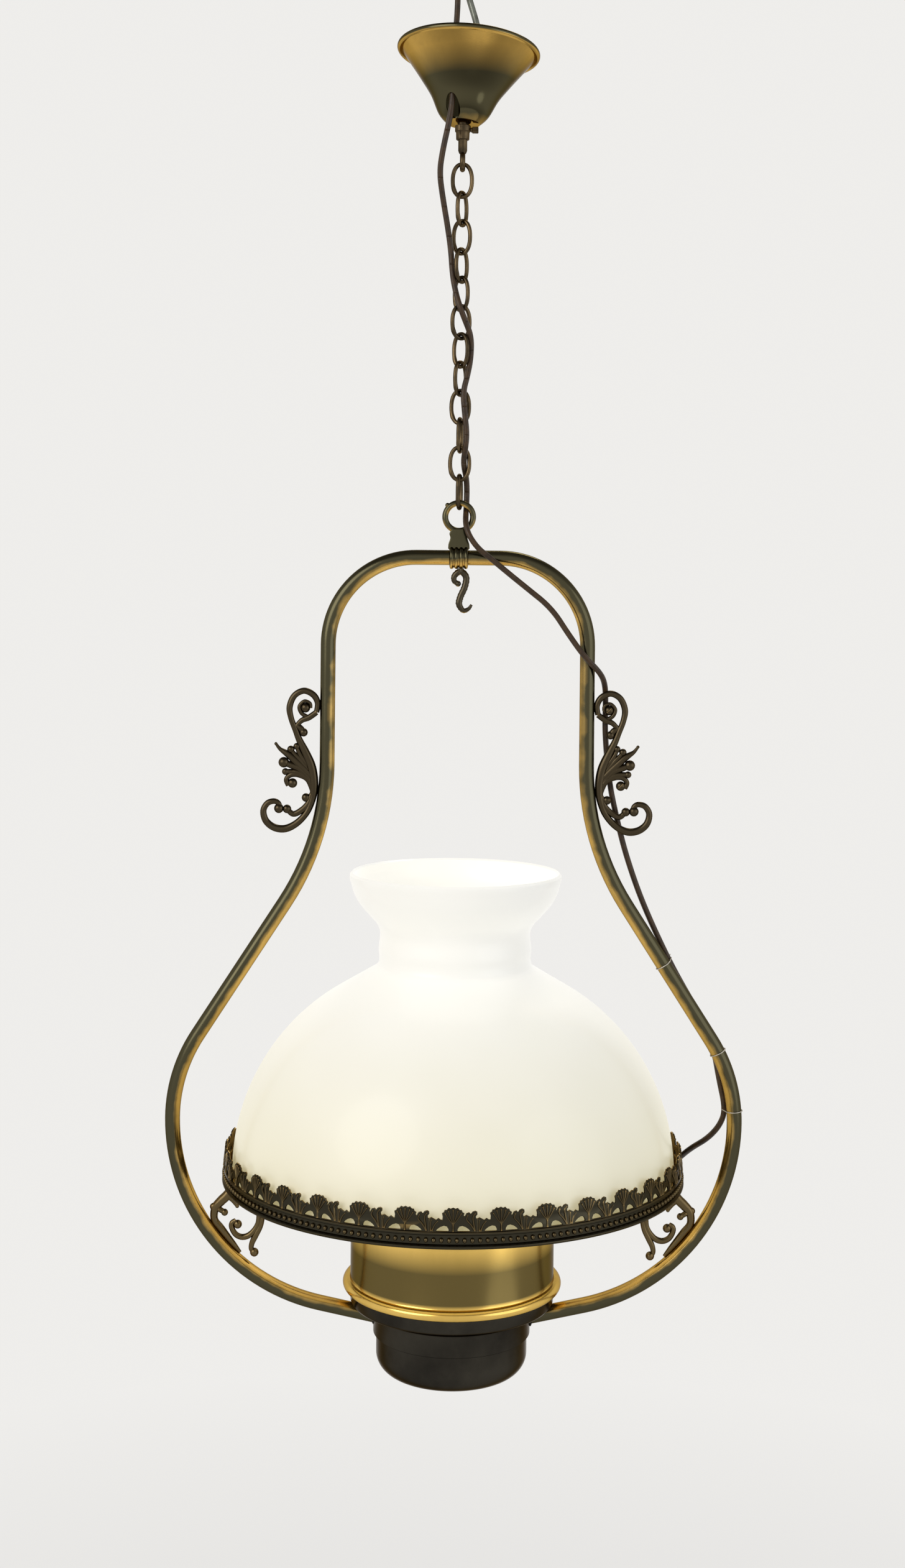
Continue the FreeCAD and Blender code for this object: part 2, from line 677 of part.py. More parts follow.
# Opal dome: two round stretches, a vase neck and a flared rim with a thick lip
def shade_outline(inset):
    """The dome's outline from its base up to its rim, inset by a wall's thickness."""
    lower_centre = (shade_base_radius - dome_lower_radius, shade_base)
    lower = arc_points(lower_centre, dome_lower_radius - inset, 0, dome_lower_turn, 2)
    turn = math.radians(dome_lower_turn)
    shift = dome_upper_radius - dome_lower_radius
    upper_centre = (lower_centre[0] - shift * math.cos(turn), lower_centre[1] - shift * math.sin(turn))
    upper = arc_points(upper_centre, dome_upper_radius - inset, dome_lower_turn,
                       dome_lower_turn + dome_upper_turn, 4)
    waist = neck_waist_radius - inset
    shoulder = shoulder_level()
    rim_foot = shoulder + neck_collar
    rim = rim_radius - inset
    neck = [(waist + 1.0, shoulder + 1.0), (waist, rim_foot),
            (waist + (rim - waist) * 0.40, rim_foot + rim_height * 0.45),
            (waist + (rim - waist) * 0.86, rim_foot + rim_height * 0.84),
            (rim, rim_foot + rim_height * 1.3)]
    return lower + upper[1:] + neck


def shoulder_level():
    """The height where the dome meets its neck, on a line that goes on from the upper arc."""
    turn = math.radians(dome_lower_turn)
    shift = dome_upper_radius - dome_lower_radius
    end = math.radians(dome_lower_turn + dome_upper_turn)
    centre_x = shade_base_radius - dome_lower_radius - shift * math.cos(turn)
    centre_z = shade_base - shift * math.sin(turn)
    x = centre_x + dome_upper_radius * math.cos(end)
    z = centre_z + dome_upper_radius * math.sin(end)
    return z + (x - neck_waist_radius) / math.tan(end)


def opal_shade():
    outer, inner = shade_outline(0.0), shade_outline(shade_wall)
    top = outer[-1][1] + lip_height
    lip = [(rim_radius, top), (rim_radius - shade_wall, top)]
    return turned(dome_sides, *(outer + lip + inner[::-1]))


# Font: a thin brass drum that drops into the holder and rests on its flange
def font_shell():
    half = flange_height / 2
    foot = flange_level - half - spigot_depth
    w = font_wall
    return turned(
        drum_sides, (burner_radius, font_top + font_dome), (font_radius, font_top),
        (font_radius, flange_level + half),
        (flange_radius - half * 0.5, flange_level + half), (flange_radius, flange_level),
        (flange_radius - half * 0.5, flange_level - half),
        (spigot_radius, flange_level - half), (spigot_radius, foot), (0, foot), (0, foot + w),
        (spigot_radius - w, foot + w), (font_radius - w, flange_level + half),
        (font_radius - w, font_top - w), (burner_radius, font_top + font_dome - w))


def burner_collar():
    level = font_top + font_dome
    rim = burner_radius + 3.0
    return turned(small_sides, (0, level - font_wall), (burner_radius, level - font_wall),
                  (burner_radius, level), (rim, level), (rim, level + burner_height * 0.4),
                  (socket_radius + 1.5, level + burner_height), (0, level + burner_height))


# Lampholder with its inner screw shell left open at the top, and the bulb that turns into it
def lampholder():
    foot = font_top + font_dome + burner_height
    floor = foot + socket_height - cap_length - 3.0
    inner = cap_radius + 0.6
    body = turned(small_sides, (0, foot), (socket_radius, foot),
                  (socket_radius, foot + socket_height * 0.7),
                  (inner + socket_wall, foot + socket_height), (inner, foot + socket_height),
                  (inner, floor), (0, floor))
    gland_level = foot + socket_height * 0.25
    direction = V(lead_points[-2].x, lead_points[-2].y, 0).normalize()
    up = V(0, 0, gland_level)
    ends = [direction * (socket_radius - 1.5) + up, direction * (socket_radius + 5.5) + up]
    gland = bar(ends, [cord_radius + 1.6] * 2, 8, across=V(0, 0, 1))
    ends = [direction * (socket_radius + 0.3) + up, direction * (socket_radius + 7.5) + up]
    bore = bar(ends, [cord_radius + 0.4] * 2, 8, across=V(0, 0, 1))
    return body.fuse(gland).cut(bore)


def bulb_cap():
    foot = font_top + font_dome + burner_height + socket_height - cap_length - 2.7
    return turned(small_sides, (0, foot), (5.0, foot), (cap_radius, foot + 5.0),
                  (cap_radius, foot + cap_length), (0, foot + cap_length))


def bulb_glass():
    foot = font_top + font_dome + burner_height + socket_height - 2.7
    centre = foot + bulb_length - cap_length - bulb_radius
    inset = 1.0
    outer = arc_points((0, centre), bulb_radius, -45, 68, 5) + [(0, centre + bulb_radius)]
    inner = [(0, centre + bulb_radius - inset)]
    inner += arc_points((0, centre), bulb_radius - inset, 68, -45, 5)
    neck = cap_radius - 0.4
    return turned(small_sides, (neck, foot), *outer, *inner, (neck - inset, foot + inset),
                  (neck - inset, foot))


# Holder ring: it carries the font's flange and takes the ends of the harp tube in its collar
def holder_ring():
    top = flange_level - flange_height / 2 - seat_gap
    step = top - holder_height
    collar = step - holder_cone
    foot = collar - collar_band_height
    w = holder_wall
    body = turned(drum_sides, (holder_radius, top), (holder_radius, step),
                  (collar_band_radius, collar), (collar_band_radius, foot),
                  (collar_band_radius - w, foot), (collar_band_radius - w, collar + w),
                  (holder_radius - w, step + w), (holder_radius - w, top))
    holes = []
    for side in (-1, 1):
        start = V(side * harp["belly_end"].x, 0, harp["belly_end"].z)
        along = V(side * harp["tail"].x, 0, harp["tail"].z)
        holes.append(Part.makeCylinder(tube_radius, harp["tail_length"] + tube_tuck, start, along))
    return body.cut(Part.makeCompound(holes))


# Font bowl: the dark spun bowl soldered into the holder's collar
def font_bowl():
    rim = flange_level - flange_height / 2 - seat_gap - holder_height - holder_cone
    rim = rim - collar_band_height + 4.5
    foot = rim - bowl_height
    middle = (bowl_radius - bowl_corner, foot + bowl_corner)
    corner = arc_points(middle, bowl_corner, 0, -90, 3)
    corner[-1] = (corner[-1][0], foot)
    inner = arc_points(middle, bowl_corner - bowl_wall, -90, 0, 3)
    inner[0] = (inner[0][0], foot + bowl_wall)
    return turned(drum_sides, (bowl_radius, rim), *corner, (0, foot), (0, foot + bowl_wall), *inner,
                  (bowl_radius - bowl_wall, rim))


def route_from(place, *points):
    """Route points, each chosen by hand and given from a place on the lamp."""
    return [place + V(*point) for point in points]


# Cord: flat twin flex, as a plain tube. Its points are chosen by hand along the real route, and
# one length ends where the next one starts, halfway along the run between them.
drop_route = [V(-5, -9, -16), V(-5.0, -9.5, -30), V(-6.8, -14, -54), V(-8.3, -17, -80),
              V(-8.5, -17.2, -108)]
chain_route = [
    V(-12.0, -17.6, -126), V(-15.5, -15.6, -142), V(-18.4, -11.6, -160), V(-15.2, -6.6, -181),
    V(-11.7, -4.4, -200), V(-8.6, -2.0, -220), V(-7.2, -1.6, -240), V(-4.3, -3.8, -255),
    V(-1.0, -6.6, -266), V(3.4, -5.0, -277), V(8.4, -1.8, -289), V(8.2, 0.2, -306),
    V(5.4, -3.8, -321), V(2.1, -6.4, -334), V(3.8, -7.6, -352), V(5.5, -7.0, -367),
    V(4.4, -5.8, -379), V(2.8, 0.0, -390.4), V(6.0, 8.0, -403), V(6.0, 10.2, -421.8)]
hanger_part = route_from(
    V(0, 0, harp_top), (4.6, -10.2, 23.7), (13.6, -12.2, 8.5), (26.0, -10.9, -1.0),
    (39.3, -9.8, -11.9), (54.0, -7.2, -23.5), (74.3, -6.2, -39.5))
side_part = route_from(
    harp["side_foot"], (-15.6, -8.2, 104.9), (-2.6, -11.4, 86.9), (10.0, -6.0, 74.9),
    (14.8, 4.6, 64.9), (15.4, 7.6, 48.9), (15.0, 7.4, 24.9), (19.0, 7.4, -15.1))
flare_part = route_from(harp["flare_end"], (-6.9, 7.2, 66.0), (0.5, 6.8, 38.0), (13.7, 7.0, 1.0))
slope_part = route_from(
    harp["belly_start"], (-33.7, 7.2, 62.4), (-17.3, 8.9, 33.4), (-5.5, 9.0, 14.4))
belly_part = route_from(
    harp["upper"], (106.6, 9.2, 55.1), (110.6, 8.6, 32.5), (115.8, 7.0, 8.9), (112.2, 10.2, -4.5))
rim_part = route_from(V(gallery_radius, 0, band_top), (23.6, 17.4, 14.5), (11.0, 31.0, 2.5))
frame_route = hanger_part + side_part + flare_part + slope_part + belly_part + rim_part
under_part = route_from(
    V(gallery_radius, 0, band_top), (2.0, 47.0, -11.5), (-13.0, 53.0, -23.5), (-40.0, 47.0, -30.5))
socket_foot = font_top + font_dome + burner_height
lead_route = under_part + route_from(
    V(0, 0, socket_foot), (112.0, 37.0, -16.0), (84.0, 27.0, -5.0), (56.0, 17.6, 8.0),
    (36.0, 11.33, 11.0), (20.6, 6.48, 11.0))
chain_start = (drop_route[-1] + chain_route[0]) * 0.5
frame_start = (chain_route[-1] + frame_route[0]) * 0.5
lead_start = (frame_route[-1] + lead_route[0]) * 0.5
drop_points = drop_route + [chain_start]
chain_points = [chain_start] + chain_route + [frame_start]
frame_points = [frame_start] + frame_route + [lead_start]
lead_points = [lead_start] + lead_route


# Tie: a turn of thin wire round the tube and the cord that lies against it
def cord_tie(tube_point, tube_along, cord_point):
    across = V(0, 1, 0)
    side = tube_along.cross(across).normalize()
    reach = cord_point - tube_point
    cord_place = (reach.dot(side), reach.dot(across))
    slip = seat_gap / 2
    points = []
    for n in range(tube_sides):
        a = 2 * math.pi * n / tube_sides
        way = (math.cos(a), math.sin(a))
        round_tube = (tube_radius + tie_wire + slip) / math.cos(math.pi / tube_sides)
        cord_reach = cord_radius + tie_wire + tie_slack
        round_cord = way[0] * cord_place[0] + way[1] * cord_place[1] + cord_reach
        if round_cord > round_tube:
            reach_out = cord_reach / math.cos(math.pi / tube_sides)
            u = cord_place[0] + way[0] * reach_out
            v = cord_place[1] + way[1] * reach_out
        else:
            u, v = way[0] * round_tube, way[1] * round_tube
        points.append(tube_point + side * u + across * v)
    return bar(points, [tie_wire] * len(points), 5, closed=True, across=tube_along)


def tie_places():
    """For each tie, the tube's middle, its direction and the cord's middle."""
    slope = (harp["belly_start"] - harp["flare_end"]).normalize()
    bends = [frame_route.index(point) for point in (slope_part[0], belly_part[0], belly_part[2])]
    cord_middles = [cord_corner(*frame_route[n - 1:n + 2])[1] for n in bends]
    first = cord_middles[0]
    on_slope = harp["flare_end"] + slope * (first - harp["flare_end"]).dot(slope)
    places = [(on_slope, slope, first)]
    for point in cord_middles[1:]:
        flat = V(point.x - harp["upper"].x, 0, point.z - harp["upper"].z).normalize()
        tube_point = harp["upper"] + flat * belly_upper_radius
        places.append((tube_point, V(flat.z, 0, -flat.x), point))
    return places


save(ceiling_hook(), "ceiling_hook")
save(terminal_block(), "terminal_block")
save(eye_rod(), "eye_rod")
save(canopy(), "canopy")
save(canopy_collar(), "canopy_collar")
save(thumb_screw(), "collar_thumb_screw")
for number, (level, yaw) in enumerate(zip(link_levels, link_yaws), 1):
    save(chain_link(level, yaw), "chain_link_%02d" % number)
save(frame_hanger(), "frame_hanger")
save(harp_half(), "harp_tube_right")
save(mirrored(harp_half()), "harp_tube_left")
save(smoke_bell_hook(), "smoke_bell_hook")
save(scroll_ornament(), "scroll_ornament_right")
save(mirrored(scroll_ornament()), "scroll_ornament_left")
save(bracket(), "bracket_right")
save(mirrored(bracket()), "bracket_left")
save(gallery_band(), "gallery_band")
save(gallery_crown(), "gallery_crown")
save(opal_shade(), "opal_shade")
save(font_shell(), "font_shell")
save(burner_collar(), "burner_collar")
save(lampholder(), "lampholder")
save(bulb_cap(), "bulb_cap")
save(bulb_glass(), "bulb_glass")
save(holder_ring(), "holder_ring")
save(font_bowl(), "font_bowl")
save(cord_tube(drop_points, "cord_drop"), "cord_drop")
save(cord_tube(chain_points, "cord_chain"), "cord_chain")
save(cord_tube(frame_points, "cord_frame"), "cord_frame")
save(cord_tube(lead_points, "cord_lead"), "cord_lead")
for number, (tube_point, tube_along, cord_point) in enumerate(tie_places(), 1):
    save(cord_tie(tube_point, tube_along, cord_point), "cord_tie_%d" % number)
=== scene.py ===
# %% [markdown]
# # A hanging lamp with an opal dome, made piece by piece
# The lamp hangs from a screw hook. A rod, a spun canopy and twelve links carry a brass harp, and
# the harp carries a pierced gallery with its glass dome, a drum font and a dark bowl. Every piece
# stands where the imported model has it, so the first cell loads that model as a frame to build on.

# %% Load the frame
import math
import bpy
from mathutils import Euler, Matrix, Vector


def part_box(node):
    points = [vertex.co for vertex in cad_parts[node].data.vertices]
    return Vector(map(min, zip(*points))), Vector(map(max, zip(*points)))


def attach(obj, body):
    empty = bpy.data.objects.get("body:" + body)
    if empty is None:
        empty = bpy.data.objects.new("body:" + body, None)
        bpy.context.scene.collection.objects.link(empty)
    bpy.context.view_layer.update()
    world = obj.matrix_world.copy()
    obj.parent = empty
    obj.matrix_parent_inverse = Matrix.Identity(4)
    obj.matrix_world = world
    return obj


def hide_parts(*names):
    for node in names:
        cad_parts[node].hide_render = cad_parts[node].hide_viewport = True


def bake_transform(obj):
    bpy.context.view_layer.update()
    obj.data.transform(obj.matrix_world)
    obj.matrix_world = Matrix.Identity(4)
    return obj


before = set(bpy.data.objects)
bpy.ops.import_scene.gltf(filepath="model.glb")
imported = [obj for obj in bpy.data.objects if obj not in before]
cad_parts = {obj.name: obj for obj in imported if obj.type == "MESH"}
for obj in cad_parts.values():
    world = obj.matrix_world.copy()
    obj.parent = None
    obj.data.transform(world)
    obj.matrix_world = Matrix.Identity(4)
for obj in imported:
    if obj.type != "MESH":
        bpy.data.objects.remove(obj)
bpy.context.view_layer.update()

# %% [markdown]
# ## Small tools
# Real makers of such lamps work with a few processes: turning and spinning for round pieces, wire
# bending for hooks and links, and casting for ornament. The helpers below follow them. The main
# ones start from one vertex that is extruded along a line of points, because a line can then be
# spun like work on a lathe, or given a round section like bent wire.

# %% Units and selection
MM = 0.001
UP = Vector((0, 0, 1))
MIRROR = Matrix.Diagonal((-1, 1, 1, 1))


def deselect():
    """Nothing may stay selected, because an operator acts on all that is."""
    bpy.ops.object.select_all(action="DESELECT")


def pick(*objects):
    """Selects these alone and makes the first the active one."""
    deselect()
    for obj in objects:
        obj.select_set(True)
    bpy.context.view_layer.objects.active = objects[0]


def spot(x, y, z):
    """A place in millimetres, as Blender's metres."""
    return Vector((x, y, z)) * MM


def edit_mode():
    bpy.ops.object.mode_set(mode="EDIT")


def object_mode():
    bpy.ops.object.mode_set(mode="OBJECT")


def edit_all():
    """Into edit mode, with all of the mesh selected."""
    edit_mode()
    bpy.ops.mesh.select_all(action="SELECT")


def edit_faces(obj, test):
    """Into edit mode, with the faces selected whose direction passes the test."""
    for face in obj.data.polygons:
        face.select = test(face.normal)
    edit_mode()
    bpy.ops.mesh.select_mode(type="FACE")


def settle(name):
    """Names what an operator has just made and moves its place and turn into its mesh."""
    bpy.ops.object.transform_apply(location=True, rotation=True, scale=True)
    bpy.context.object.name = name
    return bpy.context.object


def show(obj):
    """Puts an object that no operator made into the scene."""
    bpy.context.scene.collection.objects.link(obj)
    return obj


# %% A line of vertices
def trace(name, points, closed=False):
    """One vertex is moved to the first point and extruded to each of the others."""
    deselect()
    bpy.ops.mesh.primitive_plane_add(size=0.01)
    obj = bpy.context.object
    obj.name = name
    edit_mode()
    bpy.ops.mesh.select_mode(type="VERT")
    bpy.ops.mesh.merge(type="CENTER")
    bpy.ops.transform.translate(value=points[0])
    for here, there in zip(points, points[1:]):
        bpy.ops.mesh.extrude_vertices_move(TRANSFORM_OT_translate={"value": there - here})
    if closed:
        bpy.ops.mesh.select_all(action="DESELECT")
        object_mode()
        obj.data.vertices[0].select = True
        obj.data.vertices[-1].select = True
        edit_mode()
        bpy.ops.mesh.edge_face_add()
    object_mode()
    return obj


# %% Lines that bend
def bend(centre, radius, start, end, steps):
    """Points on a circle from one angle to another, in degrees, as (across, up) pairs."""
    angles = [math.radians(start + (end - start) * n / steps) for n in range(steps + 1)]
    return [(centre[0] + radius * math.cos(a), centre[1] + radius * math.sin(a)) for a in angles]


def flow(points, steps=5):
    """A smooth line through a few points, which leaves each along the line past its neighbours."""
    padded = [points[0]] + list(points) + [points[-1]]
    line = []
    for a, b, c, d in zip(padded, padded[1:], padded[2:], padded[3:]):
        for n in range(steps):
            t = n / steps
            line.append(tuple(
                0.5 * (2 * q + (r - p) * t + (2 * p - 5 * q + 4 * r - s) * t * t
                       + (3 * q - p - 3 * r + s) * t ** 3)
                for p, q, r, s in zip(a, b, c, d)))
    return line + [points[-1]]


def above(level, *pairs):
    """Pairs whose second number is a height above a level."""
    return [(across, level + up) for across, up in pairs]


def upright(pairs, y=0.0):
    """Pairs of millimetres across and up, as points in the plane of the harp."""
    return [spot(x, y, z) for x, z in pairs]


# %% Lathe, wire and their finish
def soften(obj, degrees=35):
    """Rounded faces shade smoothly, and edges sharper than this angle stay crisp."""
    pick(obj)
    bpy.ops.object.shade_smooth_by_angle(angle=math.radians(degrees))
    return obj


def round_edges(obj, width, segments=2, limit=30):
    """Rounds the active object's edges that are sharper than the limit in degrees."""
    bevel = obj.modifiers.new("edges", "BEVEL")
    bevel.width = width * MM
    bevel.segments = segments
    bevel.angle_limit = math.radians(limit)
    bpy.ops.object.modifier_apply(modifier="edges")


def lathe(name, pairs, steps=96, closed=True):
    """An outline of radius and height, spun round the lamp's axis."""
    obj = trace(name, upright(pairs), closed)
    edit_all()
    bpy.ops.mesh.spin(steps=steps, angle=2 * math.pi, center=(0, 0, 0), axis=(0, 0, 1))
    bpy.ops.mesh.select_all(action="SELECT")
    bpy.ops.mesh.remove_doubles(threshold=0.00001)
    bpy.ops.mesh.normals_make_consistent(inside=False)
    object_mode()
    return soften(obj)


def lay_across(obj, level):
    """Turns a piece from the lamp's axis to the X axis, at a level in millimetres."""
    obj.data.transform(Matrix.Translation(spot(0, 0, level))
                       @ Matrix.Rotation(math.pi / 2, 4, "Y"))
    return obj


def wire(name, points, radius, closed=False, widths=None, sides=3, flat=None):
    """Round wire along points. Widths are each point's share of the radius."""
    trace(name, points, closed)
    bpy.ops.object.convert(target="CURVE")
    obj = bpy.context.object
    line = obj.data.splines[0].points
    if widths:
        start = Vector(line[0].co[:3])
        backwards = (start - points[0]).length > (start - points[-1]).length
        for point, width in zip(line, reversed(widths) if backwards else widths):
            point.radius = width
    obj.data.bevel_depth = radius * MM
    obj.data.bevel_resolution = sides
    obj.data.use_fill_caps = True
    bpy.ops.object.convert(target="MESH")
    if flat:
        obj.data.transform(Matrix.Diagonal((1, flat, 1, 1)))
    return soften(obj, 50)


def ball(name, centre, radius, segments=16, turn=(0, 0, 0), flat=1.0):
    """A round end for a cast or bent bar, which may be flattened from front to back."""
    deselect()
    bpy.ops.mesh.primitive_uv_sphere_add(segments=segments, ring_count=max(6, segments // 2),
                                         radius=radius * MM, location=centre, rotation=turn)
    obj = settle(name)
    edit_all()
    bpy.ops.transform.resize(value=(1, flat, 1), center_override=centre)
    object_mode()
    return soften(obj)


def stub(name, place, radius, length, turn=(0, 0, 0), dish=0.2):
    """A short round bar whose ends are inset and dished, and whose edges are rounded."""
    deselect()
    bpy.ops.mesh.primitive_cylinder_add(vertices=32, radius=radius * MM, depth=length * MM,
                                        location=place, rotation=turn)
    obj = settle(name)
    way = Euler(turn).to_matrix() @ UP
    edit_faces(obj, lambda normal: abs(normal.dot(way)) > 0.9)
    bpy.ops.mesh.inset(thickness=0.3 * radius * MM, depth=-dish * MM, use_individual=True)
    object_mode()
    round_edges(obj, 0.12 * radius)
    return soften(obj)


def join(name, objects):
    """Several meshes as one piece."""
    pick(*objects)
    bpy.ops.object.join()
    objects[0].name = name
    return objects[0]


def twin(name, obj, matrix):
    """A copy with its own mesh, moved in the mesh itself."""
    other = show(obj.copy())
    other.name = name
    other.data = obj.data.copy()
    other.data.transform(matrix)
    if matrix.determinant() < 0:
        other.data.flip_normals()
    return other


# %% [markdown]
# ## Finishes
# Old brass is never one colour. Its lacquer has gone, so it is golden where hands and cloths reach
# it and brown in the hollows, with tiny pits. One recipe covers all the brass here: noise blends a
# bright and a dark tone, and the same noise varies how rough the surface is. A finer noise gives
# the pits. Light and shade from the glowing dome are painted into the colour as well: the sides
# that face the glass get a painted golden light, and those that look away a painted olive shade.
# That side is found from the surface's direction. Where a lamp has hung for long, the sides that
# face the glass keep their gold, and those
# that look away are covered with olive tarnish. That side is found from the surface's direction.

# %% Nodes and their inputs
def fill(tree, made, *ordered, **named):
    """Feeds a node's inputs: a socket is linked, and anything else is set as a fixed value."""
    for key, value in [*enumerate(ordered), *named.items()]:
        entry = made.inputs[key if isinstance(key, int) else key.replace("_", " ")]
        if isinstance(value, bpy.types.NodeSocket):
            tree.links.new(value, entry)
        elif entry.type == "RGBA":
            entry.default_value = (*value, 1)
        else:
            entry.default_value = value
    return made


def node(tree, kind, *ordered, **named):
    return fill(tree, tree.nodes.new(kind), *ordered, **named)


def combine(tree, operation, *values):
    """One number from one or two: the larger, their product and so on."""
    made = node(tree, "ShaderNodeMath", *values)
    made.operation = operation
    return made.outputs["Value"]


def vector_math(tree, operation, result, *values):
    made = node(tree, "ShaderNodeVectorMath", *values)
    made.operation = operation
    return made.outputs[result]


def noise(tree, scale, detail=4.0, stretch=(1, 1, 1)):
    """Noise on the piece's own coordinates, so that it stays put on the surface."""
    place = node(tree, "ShaderNodeTexCoord").outputs["Object"]
    mapping = node(tree, "ShaderNodeMapping", Vector=place, Scale=stretch)
    return node(tree, "ShaderNodeTexNoise", Vector=mapping.outputs["Vector"], Scale=scale,
                Detail=detail, Roughness=0.6).outputs["Fac"]


def ramp(tree, value, start=0.35, end=0.65, low=0.0, high=1.0):
    """From low to high as a value climbs from start to end, which as given suit noise."""
    return node(tree, "ShaderNodeMapRange", Value=value, From_Min=start, From_Max=end,
                To_Min=low, To_Max=high).outputs["Result"]


def blend_colours(tree, factor, one, two):
    """The first colour where the factor is 0, and the second where it is 1."""
    made = tree.nodes.new("ShaderNodeMix")
    made.data_type = "RGBA"
    made.clamp_factor = True
    return fill(tree, made, Factor=factor, A=one, B=two).outputs["Result"]


def bumps(tree, height, distance, strength):
    return node(tree, "ShaderNodeBump", Height=height, Distance=distance,
                Strength=strength).outputs["Normal"]


# %% A recipe for metal
def start_material(name, roughness):
    material = bpy.data.materials.new(name)
    material.use_nodes = True
    tree = material.node_tree
    return material, tree, fill(tree, tree.nodes["Principled BSDF"], Roughness=roughness)


def metal(name, bright, dark, smooth, rough, patches=14.0, stretch=(1, 1, 1), pits=0.00012):
    """Aged metal: bright and dark patches, roughness that goes with them, and fine pits."""
    material, tree, shader = start_material(name, rough)
    large = noise(tree, patches, 6.0, stretch)
    fill(tree, shader, Metallic=1.0, Specular_Tint=(0.5, 0.46, 0.42),
         Base_Color=blend_colours(tree, ramp(tree, large, 0.38, 0.70), bright, dark),
         Roughness=ramp(tree, large, low=smooth, high=rough),
         Normal=bumps(tree, noise(tree, 900.0, 2.0), pits, 0.25))
    return material


# %% Tarnish and painted dome light
GLASS_MIDDLE = (0, 0, -0.86)


def lit_by_dome(tree, start, end, raggedness):
    """Painted light from the dome: 1 where the surface looks at the dome, 0 where it looks away,
    with a ragged edge.
    """
    place = node(tree, "ShaderNodeTexCoord").outputs
    way = vector_math(tree, "SUBTRACT", "Vector", GLASS_MIDDLE, place["Object"])
    unit = vector_math(tree, "NORMALIZE", "Vector", way)
    facing = vector_math(tree, "DOT_PRODUCT", "Value", unit, place["Normal"])
    edge = ramp(tree, noise(tree, 45.0, 2.5), low=-raggedness, high=raggedness)
    return ramp(tree, combine(tree, "ADD", facing, edge), start, end)


def high_up(tree, start, end):
    """0 below one height and 1 above another, in metres."""
    place = node(tree, "ShaderNodeTexCoord").outputs["Object"]
    height = node(tree, "ShaderNodeSeparateXYZ", Vector=place).outputs["Z"]
    return ramp(tree, height, start, end)


def rubbed_edges(tree, start, end):
    """1 on the ridges of a casting, where hands and cloths touch it."""
    return ramp(tree, node(tree, "ShaderNodeNewGeometry").outputs["Pointiness"], start, end)


def tarnish_and_shade(material, colour, clean_and_lit):
    """A dark tone where the mask is 0: tarnish off rubbed edges, painted shade away from the dome.
    """
    tree = material.node_tree
    shader = tree.nodes["Principled BSDF"]
    clean = shader.inputs["Base Color"].links[0].from_socket
    fill(tree, shader, Base_Color=blend_colours(tree, clean_and_lit, colour, clean))


# %% The lamp's metals
old_brass = metal("old_brass", (0.64, 0.41, 0.115), (0.46, 0.29, 0.080), 0.14, 0.27, pits=0.00004)
# Harp and hanger: painted golden light on the sides that face the dome, painted olive shade on the
# sides turned away.
tarnish_and_shade(old_brass, (0.074, 0.067, 0.038), lit_by_dome(old_brass.node_tree, 0.10, 0.62, 0.16))
spun_brass = metal("spun_brass", (0.60, 0.37, 0.09), (0.42, 0.26, 0.065), 0.11, 0.20, 16.0,
                   (1.6, 1.6, 0.5), 0.00003)
tree = spun_brass.node_tree
# Canopy: painted golden light under the brim and on faces that look at the dome, painted olive
# shade on the rest.
lit_under_brim = combine(tree, "MULTIPLY", high_up(tree, -0.084, -0.064),
                     lit_by_dome(tree, 0.15, 0.45, 0.05))
tarnish_and_shade(spun_brass, (0.078, 0.069, 0.037),
        combine(tree, "MAXIMUM", lit_under_brim, lit_by_dome(tree, 0.60, 0.92, 0.05)))
drum_brass = metal("drum_brass", (0.80, 0.53, 0.14), (0.62, 0.41, 0.10), 0.16, 0.27, 9.0,
                   (1.6, 1.6, 0.5), 0.00003)
tree = drum_brass.node_tree
# Drum: golden at its top, as painted light from the dome above and as wear where it is handled, and
# golden on the rolled flange; darker between.
tarnish_and_shade(drum_brass, (0.140, 0.103, 0.036),
        combine(tree, "MAXIMUM", high_up(tree, -1.012, -0.994), high_up(tree, -1.0350, -1.0375)))
chain_bronze = metal("chain_bronze", (0.120, 0.085, 0.045), (0.040, 0.031, 0.020), 0.20, 0.40,
                     60.0)
cast_bronze = metal("cast_bronze", (0.30, 0.20, 0.085), (0.20, 0.14, 0.06), 0.18, 0.36, 60.0,
                    pits=0.00006)
tarnish_and_shade(cast_bronze, (0.060, 0.046, 0.027), rubbed_edges(cast_bronze.node_tree, 0.56, 0.76))
crook_bronze = metal("crook_bronze", (0.50, 0.33, 0.11), (0.36, 0.24, 0.08), 0.16, 0.30, 60.0,
                     pits=0.00006)
# Smoke-bell hook: painted golden light on the faces turned to the dome, painted dark shade on the
# rest.
tarnish_and_shade(crook_bronze, (0.060, 0.050, 0.033),
        lit_by_dome(crook_bronze.node_tree, 0.55, 0.85, 0.05))
bracket_bronze = metal("bracket_bronze", (0.46, 0.30, 0.12), (0.26, 0.17, 0.07), 0.18, 0.36, 60.0,
                       pits=0.00006)
tarnish_and_shade(bracket_bronze, (0.105, 0.077, 0.037), rubbed_edges(bracket_bronze.node_tree, 0.54, 0.72))
black_bronze = metal("black_bronze", (0.42, 0.28, 0.10), (0.26, 0.17, 0.07), 0.16, 0.34, 70.0,
                     pits=0.00006)
tree = black_bronze.node_tree
